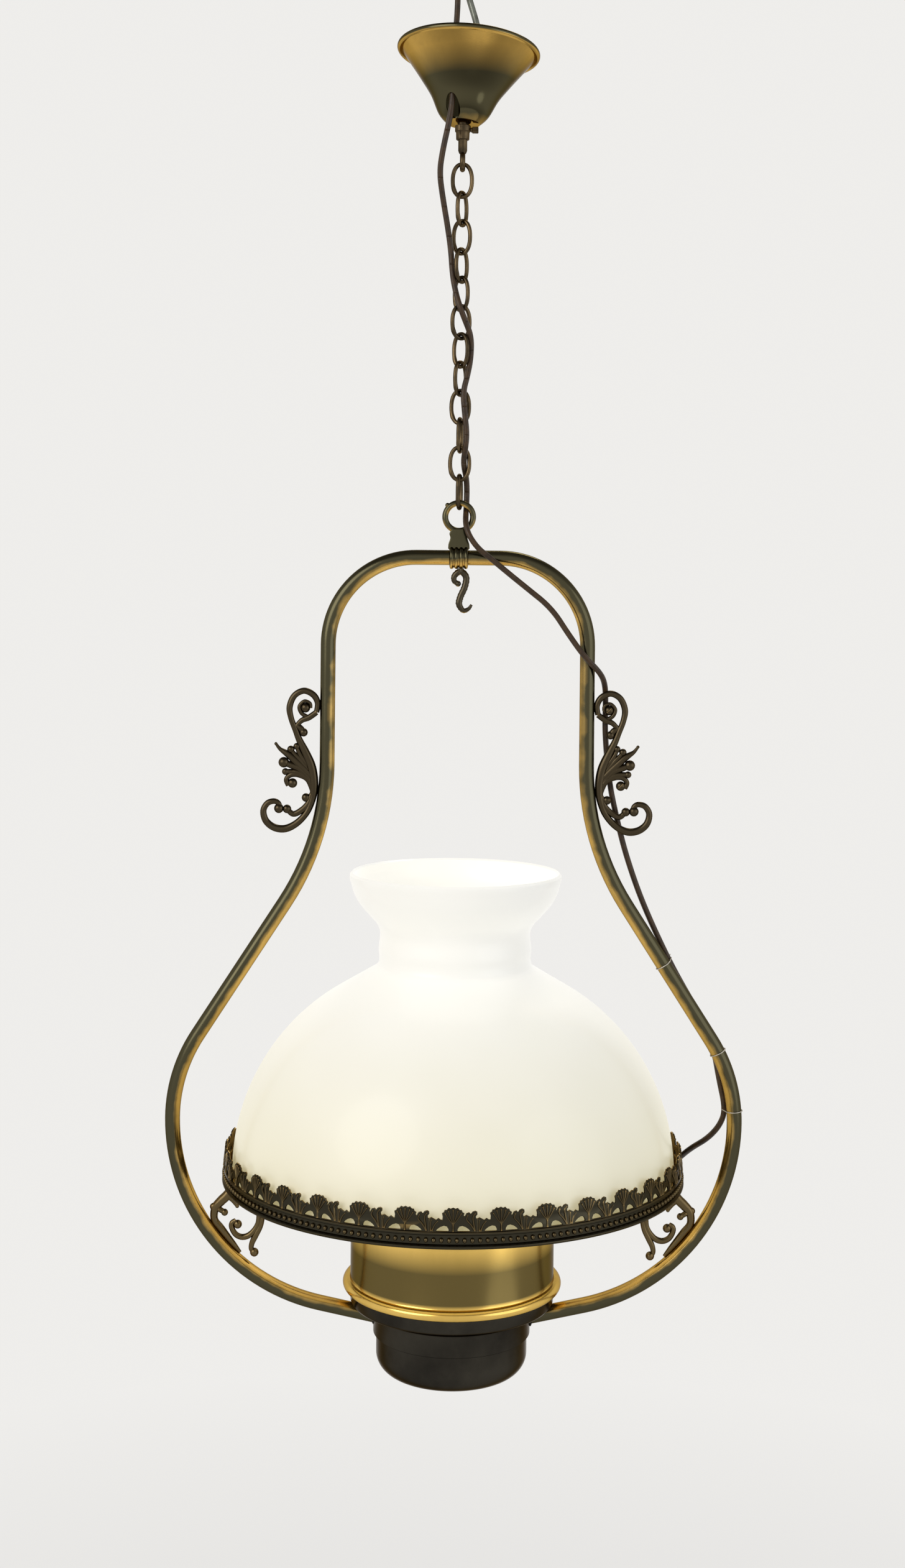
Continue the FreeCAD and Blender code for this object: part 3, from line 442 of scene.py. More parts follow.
# Gallery: near-black patina, with gold on its rubbed ridges as wear and painted golden light on the
# inner faces that look at the dome.
tarnish_and_shade(black_bronze, (0.038, 0.034, 0.023),
        combine(tree, "MAXIMUM", rubbed_edges(tree, 0.55, 0.74),
                lit_by_dome(tree, 0.15, 0.55, 0.12)))
dark_bowl = metal("dark_bowl", (0.042, 0.038, 0.030), (0.020, 0.018, 0.015), 0.10, 0.26, 18.0,
                  pits=0.00003)
dull_steel = metal("dull_steel", (0.20, 0.21, 0.18), (0.10, 0.10, 0.085), 0.30, 0.50, 80.0)
tin_wire = metal("tin_wire", (0.62, 0.58, 0.50), (0.40, 0.36, 0.30), 0.25, 0.45, 200.0)
print("Metals:", sorted(m.name for m in bpy.data.materials))

# %% [markdown]
# Opal glass lets light through but no picture, so it is made as a smooth white surface that glows
# a little by itself. The lamp is lit, and the glow is whitest at the neck, close above the bulb,
# and creamier towards the rim, so the glow's colour follows the height.

# %% Opal glass
opal, tree, shader = start_material("opal_glass", 0.38)
cloudy = ramp(tree, noise(tree, 9.0, 2.0), 0.3, 0.7)
fill(tree, shader, Specular_IOR_Level=0.3, Coat_Weight=0.2, Coat_Roughness=0.14,
     Base_Color=blend_colours(tree, cloudy, (0.72, 0.69, 0.60), (0.76, 0.73, 0.65)),
     Emission_Color=blend_colours(tree, high_up(tree, -0.945, -0.790), (0.62, 0.57, 0.30),
                                  (0.84, 0.86, 0.87)),
     Emission_Strength=0.5, Normal=bumps(tree, noise(tree, 14.0, 1.0), 0.0008, 0.15))
print("Opal glass glows at", shader.inputs["Emission Strength"].default_value)


# %% Plastics, glass and the bulb
def plastic(name, colour, other, roughness, scale, **more):
    """Two close tones, roughness that varies a little around its middle, and a fine grain."""
    material, tree, shader = start_material(name, roughness)
    fill(tree, shader,
         Base_Color=blend_colours(tree, ramp(tree, noise(tree, scale)), colour, other),
         Roughness=ramp(tree, noise(tree, scale * 3), low=roughness * 0.8, high=roughness * 1.2),
         Normal=bumps(tree, noise(tree, 1200.0, 2.0), 0.00008, 0.3), **more)
    return material


old_ivory = plastic("old_ivory", (0.72, 0.66, 0.52), (0.60, 0.53, 0.39), 0.42, 60.0)
flex_sheath = plastic("flex_sheath", (0.072, 0.040, 0.018), (0.034, 0.020, 0.011), 0.38, 160.0,
                      Specular_IOR_Level=0.3)
frosted = plastic("frosted_glass", (0.90, 0.88, 0.82), (0.85, 0.82, 0.74), 0.25, 30.0,
                  Emission_Color=(1.0, 0.90, 0.70), Emission_Strength=0.5)
thin_metal = metal("cap_metal", (0.75, 0.74, 0.72), (0.55, 0.54, 0.51), 0.25, 0.45, 90.0)
print("Materials:", len(bpy.data.materials))


# %% Dressing a piece
def dress(obj, material, slot, body, *nodes):
    """Gives a piece its finish, its body and the solids that it stands for."""
    obj.data.materials.clear()
    obj.data.materials.append(material)
    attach(obj, body)
    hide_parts(*nodes)
    print(obj.name, len(obj.data.polygons), "faces, on", body)
    return obj


def dress_pair(name, right, *finish):
    """Dresses the right one of two pieces, whose names end in its side, and a mirrored left."""
    *finish, solid = finish
    left = twin(name % "left", right, MIRROR)
    dress(right, *finish, solid % "right")
    dress(left, *finish, solid % "left")

# %% [markdown]
# ## Hook and terminal block
# A steel hook is screwed into the ceiling. It is one length of wire with a cut thread, so
# the thread is turned on the lathe as a row of ridges, and the rest is a bent wire: a shank that
# bows to one side and a round bowl that holds the rod's eye.

# %% The hook
HOOK_WIRE = 2.5
HOOK_BOTTOM = -61.0
BOWL = 8.5
bowl_level = HOOK_BOTTOM + BOWL
ridge = []
for n in range(13):
    level = -3.0 + 2.0 * n
    ridge += [(HOOK_WIRE - 0.55, level), (HOOK_WIRE, level + 1.0)]
thread = lathe("hook_thread", [(0, -4)] + ridge + [(HOOK_WIRE - 0.6, 23.4), (0, 25)], 24, False)
shank = flow([(0, -3), (3.9, -18.3), (11, -43.2), (BOWL, bowl_level)], 6)
bowl = bend((0, bowl_level), BOWL, 0, -198, 22)
hook_wire = wire("hook_wire", upright(shank[:-1] + bowl), HOOK_WIRE, sides=4)
hook = join("hook_piece", [hook_wire, thread, ball("hook_end", upright(bowl)[-1], HOOK_WIRE)])
dress(hook, dull_steel, "dark_steel", "ceiling", "ceiling_hook")

# %% [markdown]
# The cord's two cores end in a small ivory terminal block beside the hook. A cube is the natural
# start: its edges are bevelled, and the two screw wells are inset and pushed in from the front.

# %% The terminal block
WELL = 1.4
low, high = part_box("terminal_block")
middle, size = (low + high) / 2, high - low
deselect()
bpy.ops.mesh.primitive_cube_add(size=1, location=middle)
bpy.context.object.scale = size
block = settle("terminal_block_piece")
edit_mode()
bpy.ops.mesh.bisect(plane_co=middle, plane_no=(1, 0, 0))
bpy.ops.mesh.select_all(action="DESELECT")
object_mode()
edit_faces(block, lambda normal: normal.y < -0.9)
bpy.ops.mesh.inset(thickness=0.0012, use_individual=True)
bpy.ops.mesh.extrude_region_move(TRANSFORM_OT_translate={"value": (0, WELL * MM, 0)})
object_mode()
round_edges(block, 0.4)
screws = []
for side in (-0.25, 0.25):
    place = Vector((middle.x + side * size.x, low.y + WELL * MM, low.z + 0.45 * size.z))
    screws.append(stub("terminal_screw", place, 1.5, 1.6, (math.pi / 2, 0, 0), 0.4))
dress(soften(block), old_ivory, "ivory_plastic", "ceiling", "terminal_block")
dress(join("terminal_screws", screws), dull_steel, "dark_steel", "ceiling", "terminal_block")

# %% [markdown]
# ## Rod, canopy and thumb screw
# The rod ends in two eyes, bent from its own wire. Each eye is a torus, which is the quickest true
# ring, and the rod between them is turned with a small shoulder where the eye begins.

# %% The eye rod
EYE = 5.8
EYE_WIRE = 2.2
ROD = 3.6
rod_low, rod_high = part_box("eye_rod")
eye_levels = [rod_high.z / MM - EYE - EYE_WIRE, rod_low.z / MM + EYE + EYE_WIRE]


def ring(name, centre, radius, thickness, turn):
    """A closed ring of round wire, upright, turned about Z by an angle in degrees."""
    deselect()
    bpy.ops.mesh.primitive_torus_add(
        major_radius=radius * MM, minor_radius=thickness * MM, major_segments=48,
        minor_segments=14, location=centre, rotation=(math.pi / 2, 0, math.radians(turn)))
    return soften(settle(name))


eyes = [ring("eye", spot(0, 0, level), EYE, EYE_WIRE, 90) for level in eye_levels]
top, foot = eye_levels[0] - EYE - 1.0, eye_levels[1] + EYE + 1.0
rod = lathe("rod_bar", [(0, foot), (2.8, foot), (ROD, foot + 2.2), (ROD, top - 2.2), (2.8, top),
                        (0, top)], 32, False)
dress(join("eye_rod_piece", eyes + [rod]), chain_bronze, "dark_brass", "stem", "eye_rod")

# %% [markdown]
# The canopy is spun from thin brass sheet over a former, so its wall is even and its brim is rolled
# into a bead. It hangs crooked on its collar in the photograph, and it does so here. The cord goes
# through a hole in its neck, which a boolean cuts.

# %% The canopy's bell
BRIM = 57.5
NECK = 13.4
ROLL = 2.6
BELL = 62.0
WALL = 0.9
bell_line = flow([(NECK, 0), (20.4, 7.6), (27.5, 22), (36, 34.5), (46, 48),
                  (BRIM - ROLL, 59.4)], 7)
inner_line = [(r - WALL * 0.8, h + WALL * 0.6) for r, h in reversed(bell_line)]
roll = bend((BRIM - ROLL, BELL - ROLL), ROLL, -80, 200, 16)
bell = lathe("canopy_bell", [(4.4, 0)] + bell_line[:-1] + roll + inner_line[1:-1]
             + [(NECK - 1, WALL), (4.4, WALL)], 96)
print("The bell has", len(bell.data.vertices), "vertices")

# %% Its cord hole, tilt and place
CORD_HOLE = spot(-8.5, -17.2, 0)
CORD_HOLE_RADIUS = 5.9
SEAT = -118.9
deselect()
bpy.ops.mesh.primitive_cylinder_add(vertices=40, radius=CORD_HOLE_RADIUS * MM, depth=0.05,
                                    location=CORD_HOLE)
cutter = bpy.context.object
pick(bell)
cut = bell.modifiers.new("cord hole", "BOOLEAN")
cut.object = cutter
cut.operation = "DIFFERENCE"
bpy.ops.object.modifier_apply(modifier="cord hole")
bpy.data.objects.remove(cutter)
canopy_low, canopy_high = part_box("canopy")
tilt = Matrix.Rotation(math.radians(-6), 4, "X") @ Matrix.Rotation(math.radians(4), 4, "Y")
bell.data.transform(Matrix.Translation(spot(0, 0, SEAT)) @ tilt)
dress(soften(bell), spun_brass, "old_brass", "canopy", "canopy")
print("The bell is", round(bell.dimensions.z / MM, 1), "mm high, and its solid",
      round((canopy_high - canopy_low).z / MM, 1))

# %% [markdown]
# A short turned collar grips the rod below the canopy. A thumb screw with a milled head bites
# through its side. Milling is a ring of small teeth, so the head's outline gets them by moving
# every other column of vertices inwards.

# %% The collar and the thumb screw
COLLAR = -120.5
BORE = ROD + 0.06
collar = lathe("collar_piece", above(
    COLLAR, (BORE, 0), (5.9, 0), (6.3, -0.4), (6.3, -4.6), (5.8, -5.2), (5.5, -5.6), (5.3, -11.1),
    (4.9, -11.5), (BORE, -11.5)), 48)
dress(collar, chain_bronze, "dark_brass", "canopy", "canopy_collar")
HEAD = 2.7
TEETH = 20
screw_outline = [(0, BORE), (1.5, BORE), (1.5, 6.5), (1.9, 6.5), (1.9, 7.4), (HEAD, 7.8),
                 (HEAD, 12.2), (2.2, 12.5), (0, 12.5)]
thumb = lathe("thumb_screw_piece", screw_outline, 2 * TEETH, False)
for vertex in thumb.data.vertices:
    reach = math.hypot(vertex.co.x, vertex.co.y)
    column = round(math.atan2(vertex.co.y, vertex.co.x) / math.pi * TEETH)
    if reach > 0.9 * HEAD * MM and column % 2:
        vertex.co.x *= 0.9
        vertex.co.y *= 0.9
dress(soften(lay_across(thumb, COLLAR - 3.45), 20), chain_bronze, "dark_brass", "thumb_screw",
      "collar_thumb_screw")

# %% [markdown]
# ## Chain
# Each link is bent from round wire into an oval and welded shut. A plain ellipse has ends that are
# too pointed, so the oval is a superellipse, whose power of a little over two fills its corners.
# One link is modelled, with the small bulge of its weld, and each copy is turned as it hangs.

# %% One link
LINK_WIRE = 3.3
LINK_WIDTH = 18.6
LINK_HEIGHT = 29.4
FULLNESS = 2.25
STEPS = 44
LINK_TURNS = [0, 62, -31, 56, -47, 26, -46, 56, -23, 80, 0, 80]


def oval(width, height):
    line = []
    for n in range(STEPS):
        a = 2 * math.pi * n / STEPS
        c, s = math.cos(a), math.sin(a)
        line.append((width / 2 * math.copysign(abs(c) ** (2 / FULLNESS), c),
                     height / 2 * math.copysign(abs(s) ** (2 / FULLNESS), s)))
    return line


weld = [1.0 + 0.14 * math.exp(-((n - STEPS / 2) / 1.4) ** 2) for n in range(STEPS)]
model_link = wire("model_link", upright(oval(LINK_WIDTH - LINK_WIRE, LINK_HEIGHT - LINK_WIRE)),
                  LINK_WIRE / 2, closed=True, widths=weld, sides=4)
print("One link is", [round(v / MM, 1) for v in model_link.dimensions], "mm")

# %% Twelve links
link_names = ["chain_link_%02d" % n for n in range(1, 13)]
for name, turn in zip(link_names, LINK_TURNS):
    low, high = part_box(name)
    place = Matrix.Translation((0, 0, (low.z + high.z) / 2))
    link = twin(name + "_piece", model_link, place @ Matrix.Rotation(math.radians(turn), 4, "Z"))
    dress(link, chain_bronze, "dark_brass", name, name)
bpy.data.objects.remove(model_link)

# %% [markdown]
# ## Harp
# Two lengths of brass tube meet inside the reeded clamp at the top. Each is one bent tube, so it
# is a single line of arcs and straights with a round section. The arcs are those of the solid:
# a wide shoulder, a gentle flare outwards and a belly of two radii.

# %% The harp's line
TUBE = 6.0
HARP_TOP = -465.5
SHOULDER = 70.0
HALF_WIDTH = 103.6
SIDE = 95.4
FLARE = 205.0
FLARE_TURN = 32.8
SLOPE = 126.7
BELLY_UPPER = 122.0
BELLY_LOWER = 150.0
BELLY_TURN = 78.0
TAIL = 48.0
side_top = HARP_TOP - SHOULDER
side_foot = side_top - SIDE
flare = bend((HALF_WIDTH + FLARE, side_foot), FLARE, 180, 180 + FLARE_TURN, 14)
lean = math.radians(FLARE_TURN)
belly_x = flare[-1][0] + SLOPE * math.sin(lean) - BELLY_UPPER * math.cos(lean)
belly_z = flare[-1][1] - SLOPE * math.cos(lean) - BELLY_UPPER * math.sin(lean)
lower_x = belly_x + BELLY_UPPER - BELLY_LOWER
belly = bend((belly_x, belly_z), BELLY_UPPER, FLARE_TURN, 0, 14)
belly += bend((lower_x, belly_z), BELLY_LOWER, 0, -BELLY_TURN, 34)[1:]
tail = (belly[-1][0] - TAIL * math.sin(math.radians(BELLY_TURN)),
        belly[-1][1] - TAIL * math.cos(math.radians(BELLY_TURN)))
half_line = [(0.05, HARP_TOP)] + bend((HALF_WIDTH - SHOULDER, side_top), SHOULDER, 90, 0, 26)
half_line += flare + belly + [tail]
print("Half the harp runs through", len(half_line), "points")

# %% The two tubes
right_tube = wire("harp_right_piece", upright(half_line), TUBE, sides=6)
dress_pair("harp_%s_piece", right_tube, old_brass, "old_brass", "frame", "harp_tube_%s")

# %% [markdown]
# ## Hanger
# The hanger is a casting: a thick ring with a small nub, a waisted shank with a scalloped foot,
# and a sleeve with four reeds round the tube. Ring and sleeve are round, so they come from a torus
# and the lathe. The shank is a flat outline, filled and pushed to its depth.

# %% A flat casting
def plate(name, pairs, depth, rounding):
    """A flat outline in the plane of the harp, filled, thickened and rounded at its edges."""
    obj = trace(name, upright(pairs, -depth / 2), True)
    edit_all()
    bpy.ops.mesh.edge_face_add()
    bpy.ops.mesh.extrude_region_move(TRANSFORM_OT_translate={"value": (0, depth * MM, 0)})
    bpy.ops.mesh.select_all(action="SELECT")
    bpy.ops.mesh.normals_make_consistent(inside=False)
    object_mode()
    round_edges(obj, rounding, 3, 50)
    return soften(obj, 40)


# %% The hanger
RING = 11.1
RING_WIRE = 2.4
ring_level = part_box("frame_hanger")[1].z / MM - RING - RING_WIRE
hang_ring = ring("hanger_ring", spot(0, 0, ring_level), RING, RING_WIRE, 0)
nub = ball("hanger_nub", spot(-9.2, 0, ring_level + 9.2), 2.0)
shank_top = ring_level - RING + 1.5
right_side = flow(above(shank_top, (5.4, 0), (7.6, -3.6), (6.9, -7.4), (8.3, -12), (8.6, -15.6)))
right_side += above(shank_top, (6.2, -18.4), (3.4, -17.2), (0, -19.2))
left_side = [(-x, z) for x, z in reversed(right_side[:-1])]
shank = plate("hanger_shank", right_side + left_side, 7.0, 1.6)
reed_line = [(6.15, -7.6)]
for n in range(4):
    reed_line += bend((7.6, -5.7 + 3.8 * n), 1.55, -70, 70, 8)
reed_line += [(6.15, 7.6)]
sleeve = lay_across(lathe("hanger_sleeve", reed_line, 48), HARP_TOP)
hanger = join("hanger_piece", [hang_ring, nub, shank, sleeve])
dress(hanger, old_brass, "old_brass", "frame", "frame_hanger")

# %% [markdown]
# Below the sleeve hangs a small hook that once held a smoke bell. It is cast flat and chased with
# little ribs across its strap, so beads of metal lie along it like the rings of a screw.

# %% The smoke-bell hook
hook_top = HARP_TOP - 8.8
crook = [(-0.4, -12.0), (-3.4, -9.8), (-3.2, -5.6), (1.6, -2.2), (6.0, -6.6), (5.0, -14.5),
         (1.6, -22.5), (0.6, -28.5), (4.0, -33.4), (8.2, -32.0), (10.6, -28.6)]
crook_line = flow([(x, hook_top + z) for x, z in crook], 6)
count = len(crook_line)
crook_widths = [min(1.0, 0.7 + n / count, 4.0 * (count - n) / count * 0.5 + 0.35)
                * (1.0 + 0.10 * (n % 2)) for n in range(count)]
strap = wire("crook_strap", upright(crook_line), 2.5, widths=crook_widths, sides=4, flat=0.85)
knob = ball("crook_knob", spot(-0.4, 0, hook_top - 12.0), 2.4)
peg = stub("crook_peg", spot(1.6, 0, hook_top - 1.5), 2.6, 3.4)
dress(join("smoke_hook_piece", [strap, knob, peg]), crook_bronze, "old_brass", "frame",
      "smoke_bell_hook")

# %% [markdown]
# ## Scroll ornaments
# Two cast scrolls are soldered to the sides of the harp: a long S with curled ends, small fruit
# balls and a spray of acanthus leaf. Casting makes bars that taper and swell, so each scroll is a
# wire with a width for each point, and each leaf lobe is a short fat wire with a ball at its tip.
# The points are distances out from the tube's middle and down from the ornament's top.

# %% The scroll lines
ORNAMENT_TOP = -564.0
main_stem = [
    (8.8, 26.0, 2.3), (7.9, 18.6, 2.5), (11.5, 12.1, 2.6), (19.0, 8.9, 2.6), (26.6, 12.9, 2.6),
    (30.3, 21.8, 2.6), (29.1, 30.7, 2.4), (25.4, 40.4, 2.5), (22.2, 48.4, 2.8), (17.4, 58.1, 3.5),
    (12.8, 68.6, 3.8), (10.6, 79.1, 3.7), (10.3, 88.8, 3.3), (12.2, 97.7, 2.9), (16.2, 106.6, 2.7),
    (23.8, 114.7, 2.9), (32.7, 119.1, 3.1), (41.6, 118.3, 3.0), (48.4, 113.0, 2.8),
    (50.5, 105.0, 2.6), (47.2, 98.9, 2.5), (41.6, 97.3, 2.3), (38.0, 99.6, 2.1), (38.2, 103.0, 1.9)]
scroll_lines = [
    (main_stem, 3.9),
    ([(8.8, 26.0, 2.4), (14.9, 30.3, 2.5), (20.6, 32.7, 2.2), (25.6, 38.1, 1.9)], 0),
    ([(15.5, 30.0, 1.8), (20.6, 27.0, 1.7), (22.6, 21.6, 1.6), (18.6, 17.2, 1.5), (14.0, 19.0, 1.4),
      (13.4, 22.8, 1.3)], 0),
    ([(17.4, 22.2, 3.9), (17.7, 22.5, 3.9)], 3.9),
    ([(24.6, 36.5, 2.1), (21.6, 38.8, 2.6), (19.0, 42.2, 2.6)], 3.4),
    ([(12.1, 91.2, 2.2), (14.6, 98.7, 2.6), (19.8, 104.2, 2.6), (26.6, 107.4, 2.4),
      (31.7, 103.4, 2.1)], 3.5),
    ([(12.4, 94.4, 2.1), (16.6, 94.2, 2.1)], 3.5)]
leaf_lines = [
    ([(12.0, 78.0, 2.6), (16.7, 73.3, 3.0), (24.0, 66.4, 3.1), (31.6, 59.6, 2.7), (37.6, 55.6, 1.6),
      (41.0, 51.4, 1.1)], 1.3),
    ([(14.5, 69.5, 2.2), (18.6, 64.2, 2.4), (22.4, 58.4, 2.0), (24.3, 53.4, 1.7)], 2.8),
    ([(15.0, 72.0, 2.0), (22.4, 63.4, 2.3), (27.0, 58.6, 1.9), (29.0, 55.8, 1.7)], 3.0),
    ([(13.0, 80.0, 2.4), (21.4, 71.4, 3.0), (28.6, 68.4, 2.8), (34.6, 66.2, 2.4)], 4.3),
    ([(13.0, 80.0, 2.2), (22.4, 74.4, 2.7), (28.4, 73.6, 2.3), (33.2, 73.6, 2.0)], 2.8),
    ([(11.0, 90.0, 2.0), (14.8, 79.6, 2.8), (22.4, 76.0, 2.4), (29.0, 76.2, 2.2), (32.4, 80.0, 2.1),
      (30.8, 84.8, 1.9)], 0),
    ([(27.2, 82.4, 3.9), (27.5, 82.7, 3.9)], 3.9)]
print(len(scroll_lines), "scrolls and", len(leaf_lines), "leaf lobes on each ornament")


# %% One casting from its lines
def casting(name, lines, place):
    """Bars that swell and taper along their points, each with a ball on its end if it has one."""
    parts = []
    for points, tip in lines:
        line = flow([(*place(x, y), radius) for x, y, radius in points], 6)
        widest = max(radius for _, _, radius in line)
        spots = upright([(x, z) for x, z, _ in line])
        parts.append(wire(name, spots, widest, widths=[r / widest for _, _, r in line], flat=0.9))
        if tip:
            parts.append(ball(name, spots[-1], tip, flat=0.88))
    return join(name, parts)


def beside_tube(out, down):
    return HALF_WIDTH + out, ORNAMENT_TOP - down


right_scroll = casting("scroll_right_piece", scroll_lines + leaf_lines, beside_tube)
dress_pair("scroll_%s_piece", right_scroll, cast_bronze, "dark_brass", "frame",
           "scroll_ornament_%s")

# %% [markdown]
# ## Gallery
# The gallery is a cast ring that holds the dome. Its band has a rounded top, a row of beads and a
# lip. The mouldings are turned on the lathe. A bead is a small ball, made a little taller and cut
# in half, with its flat back drawn into the band. It is copied round the ring.

# %% The band
GALLERY = 182.0
BAND_TOP = -946.5
BAND_FOOT = -959.0
LEDGE = -951.0
bead_level = BAND_TOP - 6.0
band_line = above(LEDGE, (162.0, 0), (180.0, 0))
band_line += above(BAND_TOP, (180.0, -0.6), (180.5, 0), (181.4, 0), (182.0, -0.5), (182.0, -2.2),
                   (181.2, -2.8))
band_line += above(bead_level, (181.2, -2.9), (182.2, -3.4), (183.1, -4.2), (183.2, -5.0))
band_line += above(BAND_FOOT, (182.4, 0.3), (181.6, 0), (180.4, 0), (180.0, 0.6))
band_line += above(LEDGE, (180.0, -2.0), (162.0, -2.0))
band = lathe("gallery_band_piece", band_line, 160)
dress(band, black_bronze, "dark_brass", "frame", "gallery_band")


# %% The bead row
def round_the_lamp(name, obj, count):
    """Copies of one small mesh all round the axis, joined into a single piece."""
    copies = [twin(name, obj, Matrix.Rotation(2 * math.pi * n / count, 4, "Z"))
              for n in range(count)]
    bpy.data.objects.remove(obj)
    return join(name, copies)


BEAD = 1.75
BEADS = 206
bead_place = spot(181.5, 0, bead_level)
one_bead = ball("bead", bead_place, BEAD, 8, (0, math.pi / 2, 0))
edit_all()
bpy.ops.transform.resize(value=(1, 0.95, 1.12), center_override=bead_place)
bpy.ops.mesh.bisect(plane_co=bead_place, plane_no=(1, 0, 0), clear_inner=True, use_fill=True)
bpy.ops.mesh.extrude_region_move(TRANSFORM_OT_translate={"value": (-0.0007, 0, 0)})
object_mode()
print("One bead has", len(one_bead.data.polygons), "faces")
beads = round_the_lamp("gallery_bead_row", one_bead, BEADS)
dress(soften(beads, 60), black_bronze, "dark_brass", "frame", "gallery_band")

# %% [markdown]
# The crown is the piece that takes the most skill. A real one is cast flat in strips, pierced and
# bent round the band. Here one period is drawn as a flat shape with two windows: a shell palmette
# on a stem, a leaf with a curled tip and a bud. A 2D curve fills the shape, leaves the windows
# open and rounds its edges, and the finished mesh is then bent to the ring by a formula.

# %% One period of the crown
MOTIFS = 33
CROWN = 16.7
LEAN = 1.5
period = 2 * math.pi * GALLERY / MOTIFS
skyline = [(-17.3, 0.0), (-17.3, 9.2), (-15.6, 9.9), (-14.0, 9.0), (-12.2, 8.1), (-10.6, 9.4),
           (-9.0, 8.3), (-7.6, 8.2), (-7.4, 10.6), (-7.9, 12.9), (-6.6, 13.6), (-6.1, 15.0),
           (-4.6, 15.1), (-3.3, 16.5), (-1.7, 15.9), (0, 16.7), (1.7, 15.9), (3.3, 16.5),
           (4.6, 15.1), (6.1, 15.0), (6.6, 13.6), (7.9, 12.9), (7.4, 11.2), (8.4, 10.7),
           (9.6, 12.9), (11.5, 13.5), (12.7, 12.2), (14.0, 13.9), (15.9, 14.5), (17.2, 13.9),
           (17.3, 12.3), (16.2, 11.0), (16.4, 9.4), (17.3, 9.0), (17.3, 0.0)]
window = [(3.0, 0.5), (3.2, 2.2), (4.4, 4.0), (6.6, 4.5), (9.2, 3.6), (11.4, 2.0), (12.6, 0.5)]
other_window = [(-x, y) for x, y in window]


def flat_loop(pairs):
    """A closed loop in the XY plane, where a 2D curve lies."""
    return trace("loop", [Vector((x, y, 0)) * MM for x, y in pairs], True)


motif = join("crown_motif", [flat_loop(line) for line in (skyline, window, other_window)])
bpy.ops.object.convert(target="CURVE")
motif = bpy.context.object
motif.data.dimensions = "2D"
motif.data.fill_mode = "BOTH"
motif.data.extrude = 0.45 * MM
motif.data.bevel_depth = 0.3 * MM
motif.data.bevel_resolution = 1
motif.data.offset = -0.15 * MM
bpy.ops.object.convert(target="MESH")
motif = bpy.context.object
print("The flat motif has", len(motif.data.polygons), "faces for a period of",
      round(period, 2), "mm")

# %% Relief on the motif
relief = []


def rib(points, start, end):
    line = [Vector((x, y, 0.75)) * MM for x, y in flow(points, 4)]
    last = len(line) - 1
    widths = [1 + (end / start - 1) * n / last for n in range(last + 1)]
    relief.append(wire("rib", line, start, widths=widths, sides=1))


for tip_x, tip_y in [(-5.9, 13.2), (-3.4, 15.0), (0, 15.6), (3.4, 15.0), (5.9, 13.2)]:
    rib([(0, 5.2), (tip_x * 0.55, 5.2 + (tip_y - 5.2) * 0.5), (tip_x, tip_y)], 0.35, 0.62)
rib([(0, 0.6), (0, 5.6)], 0.9, 0.7)
rib([(15.5, 1.0), (12.6, 5.4), (9.6, 9.0), (10.6, 12.0)], 0.8, 0.5)
rib([(15.5, 1.0), (14.6, 6.6), (14.2, 10.6), (16.0, 13.2)], 0.9, 0.5)
rib([(-15.0, 0.8), (-13.2, 5.0), (-11.0, 7.6)], 0.8, 0.4)
rib([(-16.0, 0.8), (-16.2, 5.4), (-15.6, 8.6)], 0.7, 0.4)
motif = join("crown_motif", [motif] + relief)
print("With relief it has", len(motif.data.polygons), "faces")

# %% Bend the motif and copy it round
for vertex in motif.data.vertices:
    along, height, proud = vertex.co
    reach = (GALLERY - 0.75) * MM + proud - LEAN * height / CROWN
    angle = along / (GALLERY * MM) - math.pi / 2
    vertex.co = (reach * math.cos(angle), reach * math.sin(angle), BAND_TOP * MM + height)
crown = round_the_lamp("gallery_crown_piece", motif, MOTIFS)
dress(soften(crown, 40), black_bronze, "dark_brass", "frame", "gallery_crown")

# %% [markdown]
# ## Brackets
# Two small cast brackets reach from under the gallery to the harp. One arm is leafy and lies along
# the tube, and a second scroll curls under the ring. The points are distances outwards and upwards
# from the bracket's root, which is under the gallery's ledge.

# %% The brackets
root = GALLERY - 6.0
under = LEDGE - 2.0


def from_root(out, up):
    return root + out, under + up


def on_tube(degrees, radius):
    """A point beside the harp's belly, for a bar of this radius that touches the tube."""
    a, reach = math.radians(degrees), BELLY_LOWER - TUBE - radius + 0.3
    return lower_x + reach * math.cos(a) - root, belly_z - reach * math.sin(a) - under, radius


bracket_lines = [
    ([(1, -2, 3.2), (1, -17, 3.4), (4, -23, 3.9), (9, -28, 3.9), (13.5, -33.5, 3.4),
      on_tube(35, 3.0), on_tube(38.5, 3.0), on_tube(42, 2.7), on_tube(45.5, 2.1),
      on_tube(48.5, 1.2)], 0),
    ([(9, -29, 2.9), (15.0, -32.5, 2.8)], 2.9),
    ([(4, -23, 2.9), (-0.5, -26.5, 2.5), (-4.0, -32.0, 1.4)], 1.6),
    ([(11, -34, 2.3), (6.0, -37.0, 2.0)], 2.8),
    ([(0, -2.0, 2.3), (-12, -6, 2.3), (-21, -18, 2.2), (-24, -34, 2.2), (-23.2, -46, 2.2),
      (-19, -55, 2.5), (-16.2, -61, 2.3), (-15.6, -66, 2.0), (-18, -68.6, 1.8)], 3.5),
    ([(-20.6, -20, 1.8), (-21.2, -40, 1.9), (-19.6, -48, 2.1), (-14.5, -54.5, 2.4),
      (-8.6, -56.6, 2.4), (-3.2, -54.6, 2.3), (0, -49.6, 2.2), (0.2, -45.6, 2.1),
      (-2.8, -43.4, 1.9)], 0),
    ([(-4.8, -46.2, 3.5), (-4.5, -46.4, 3.5)], 3.5)]
right_bracket = casting("bracket_right_piece", bracket_lines, from_root)
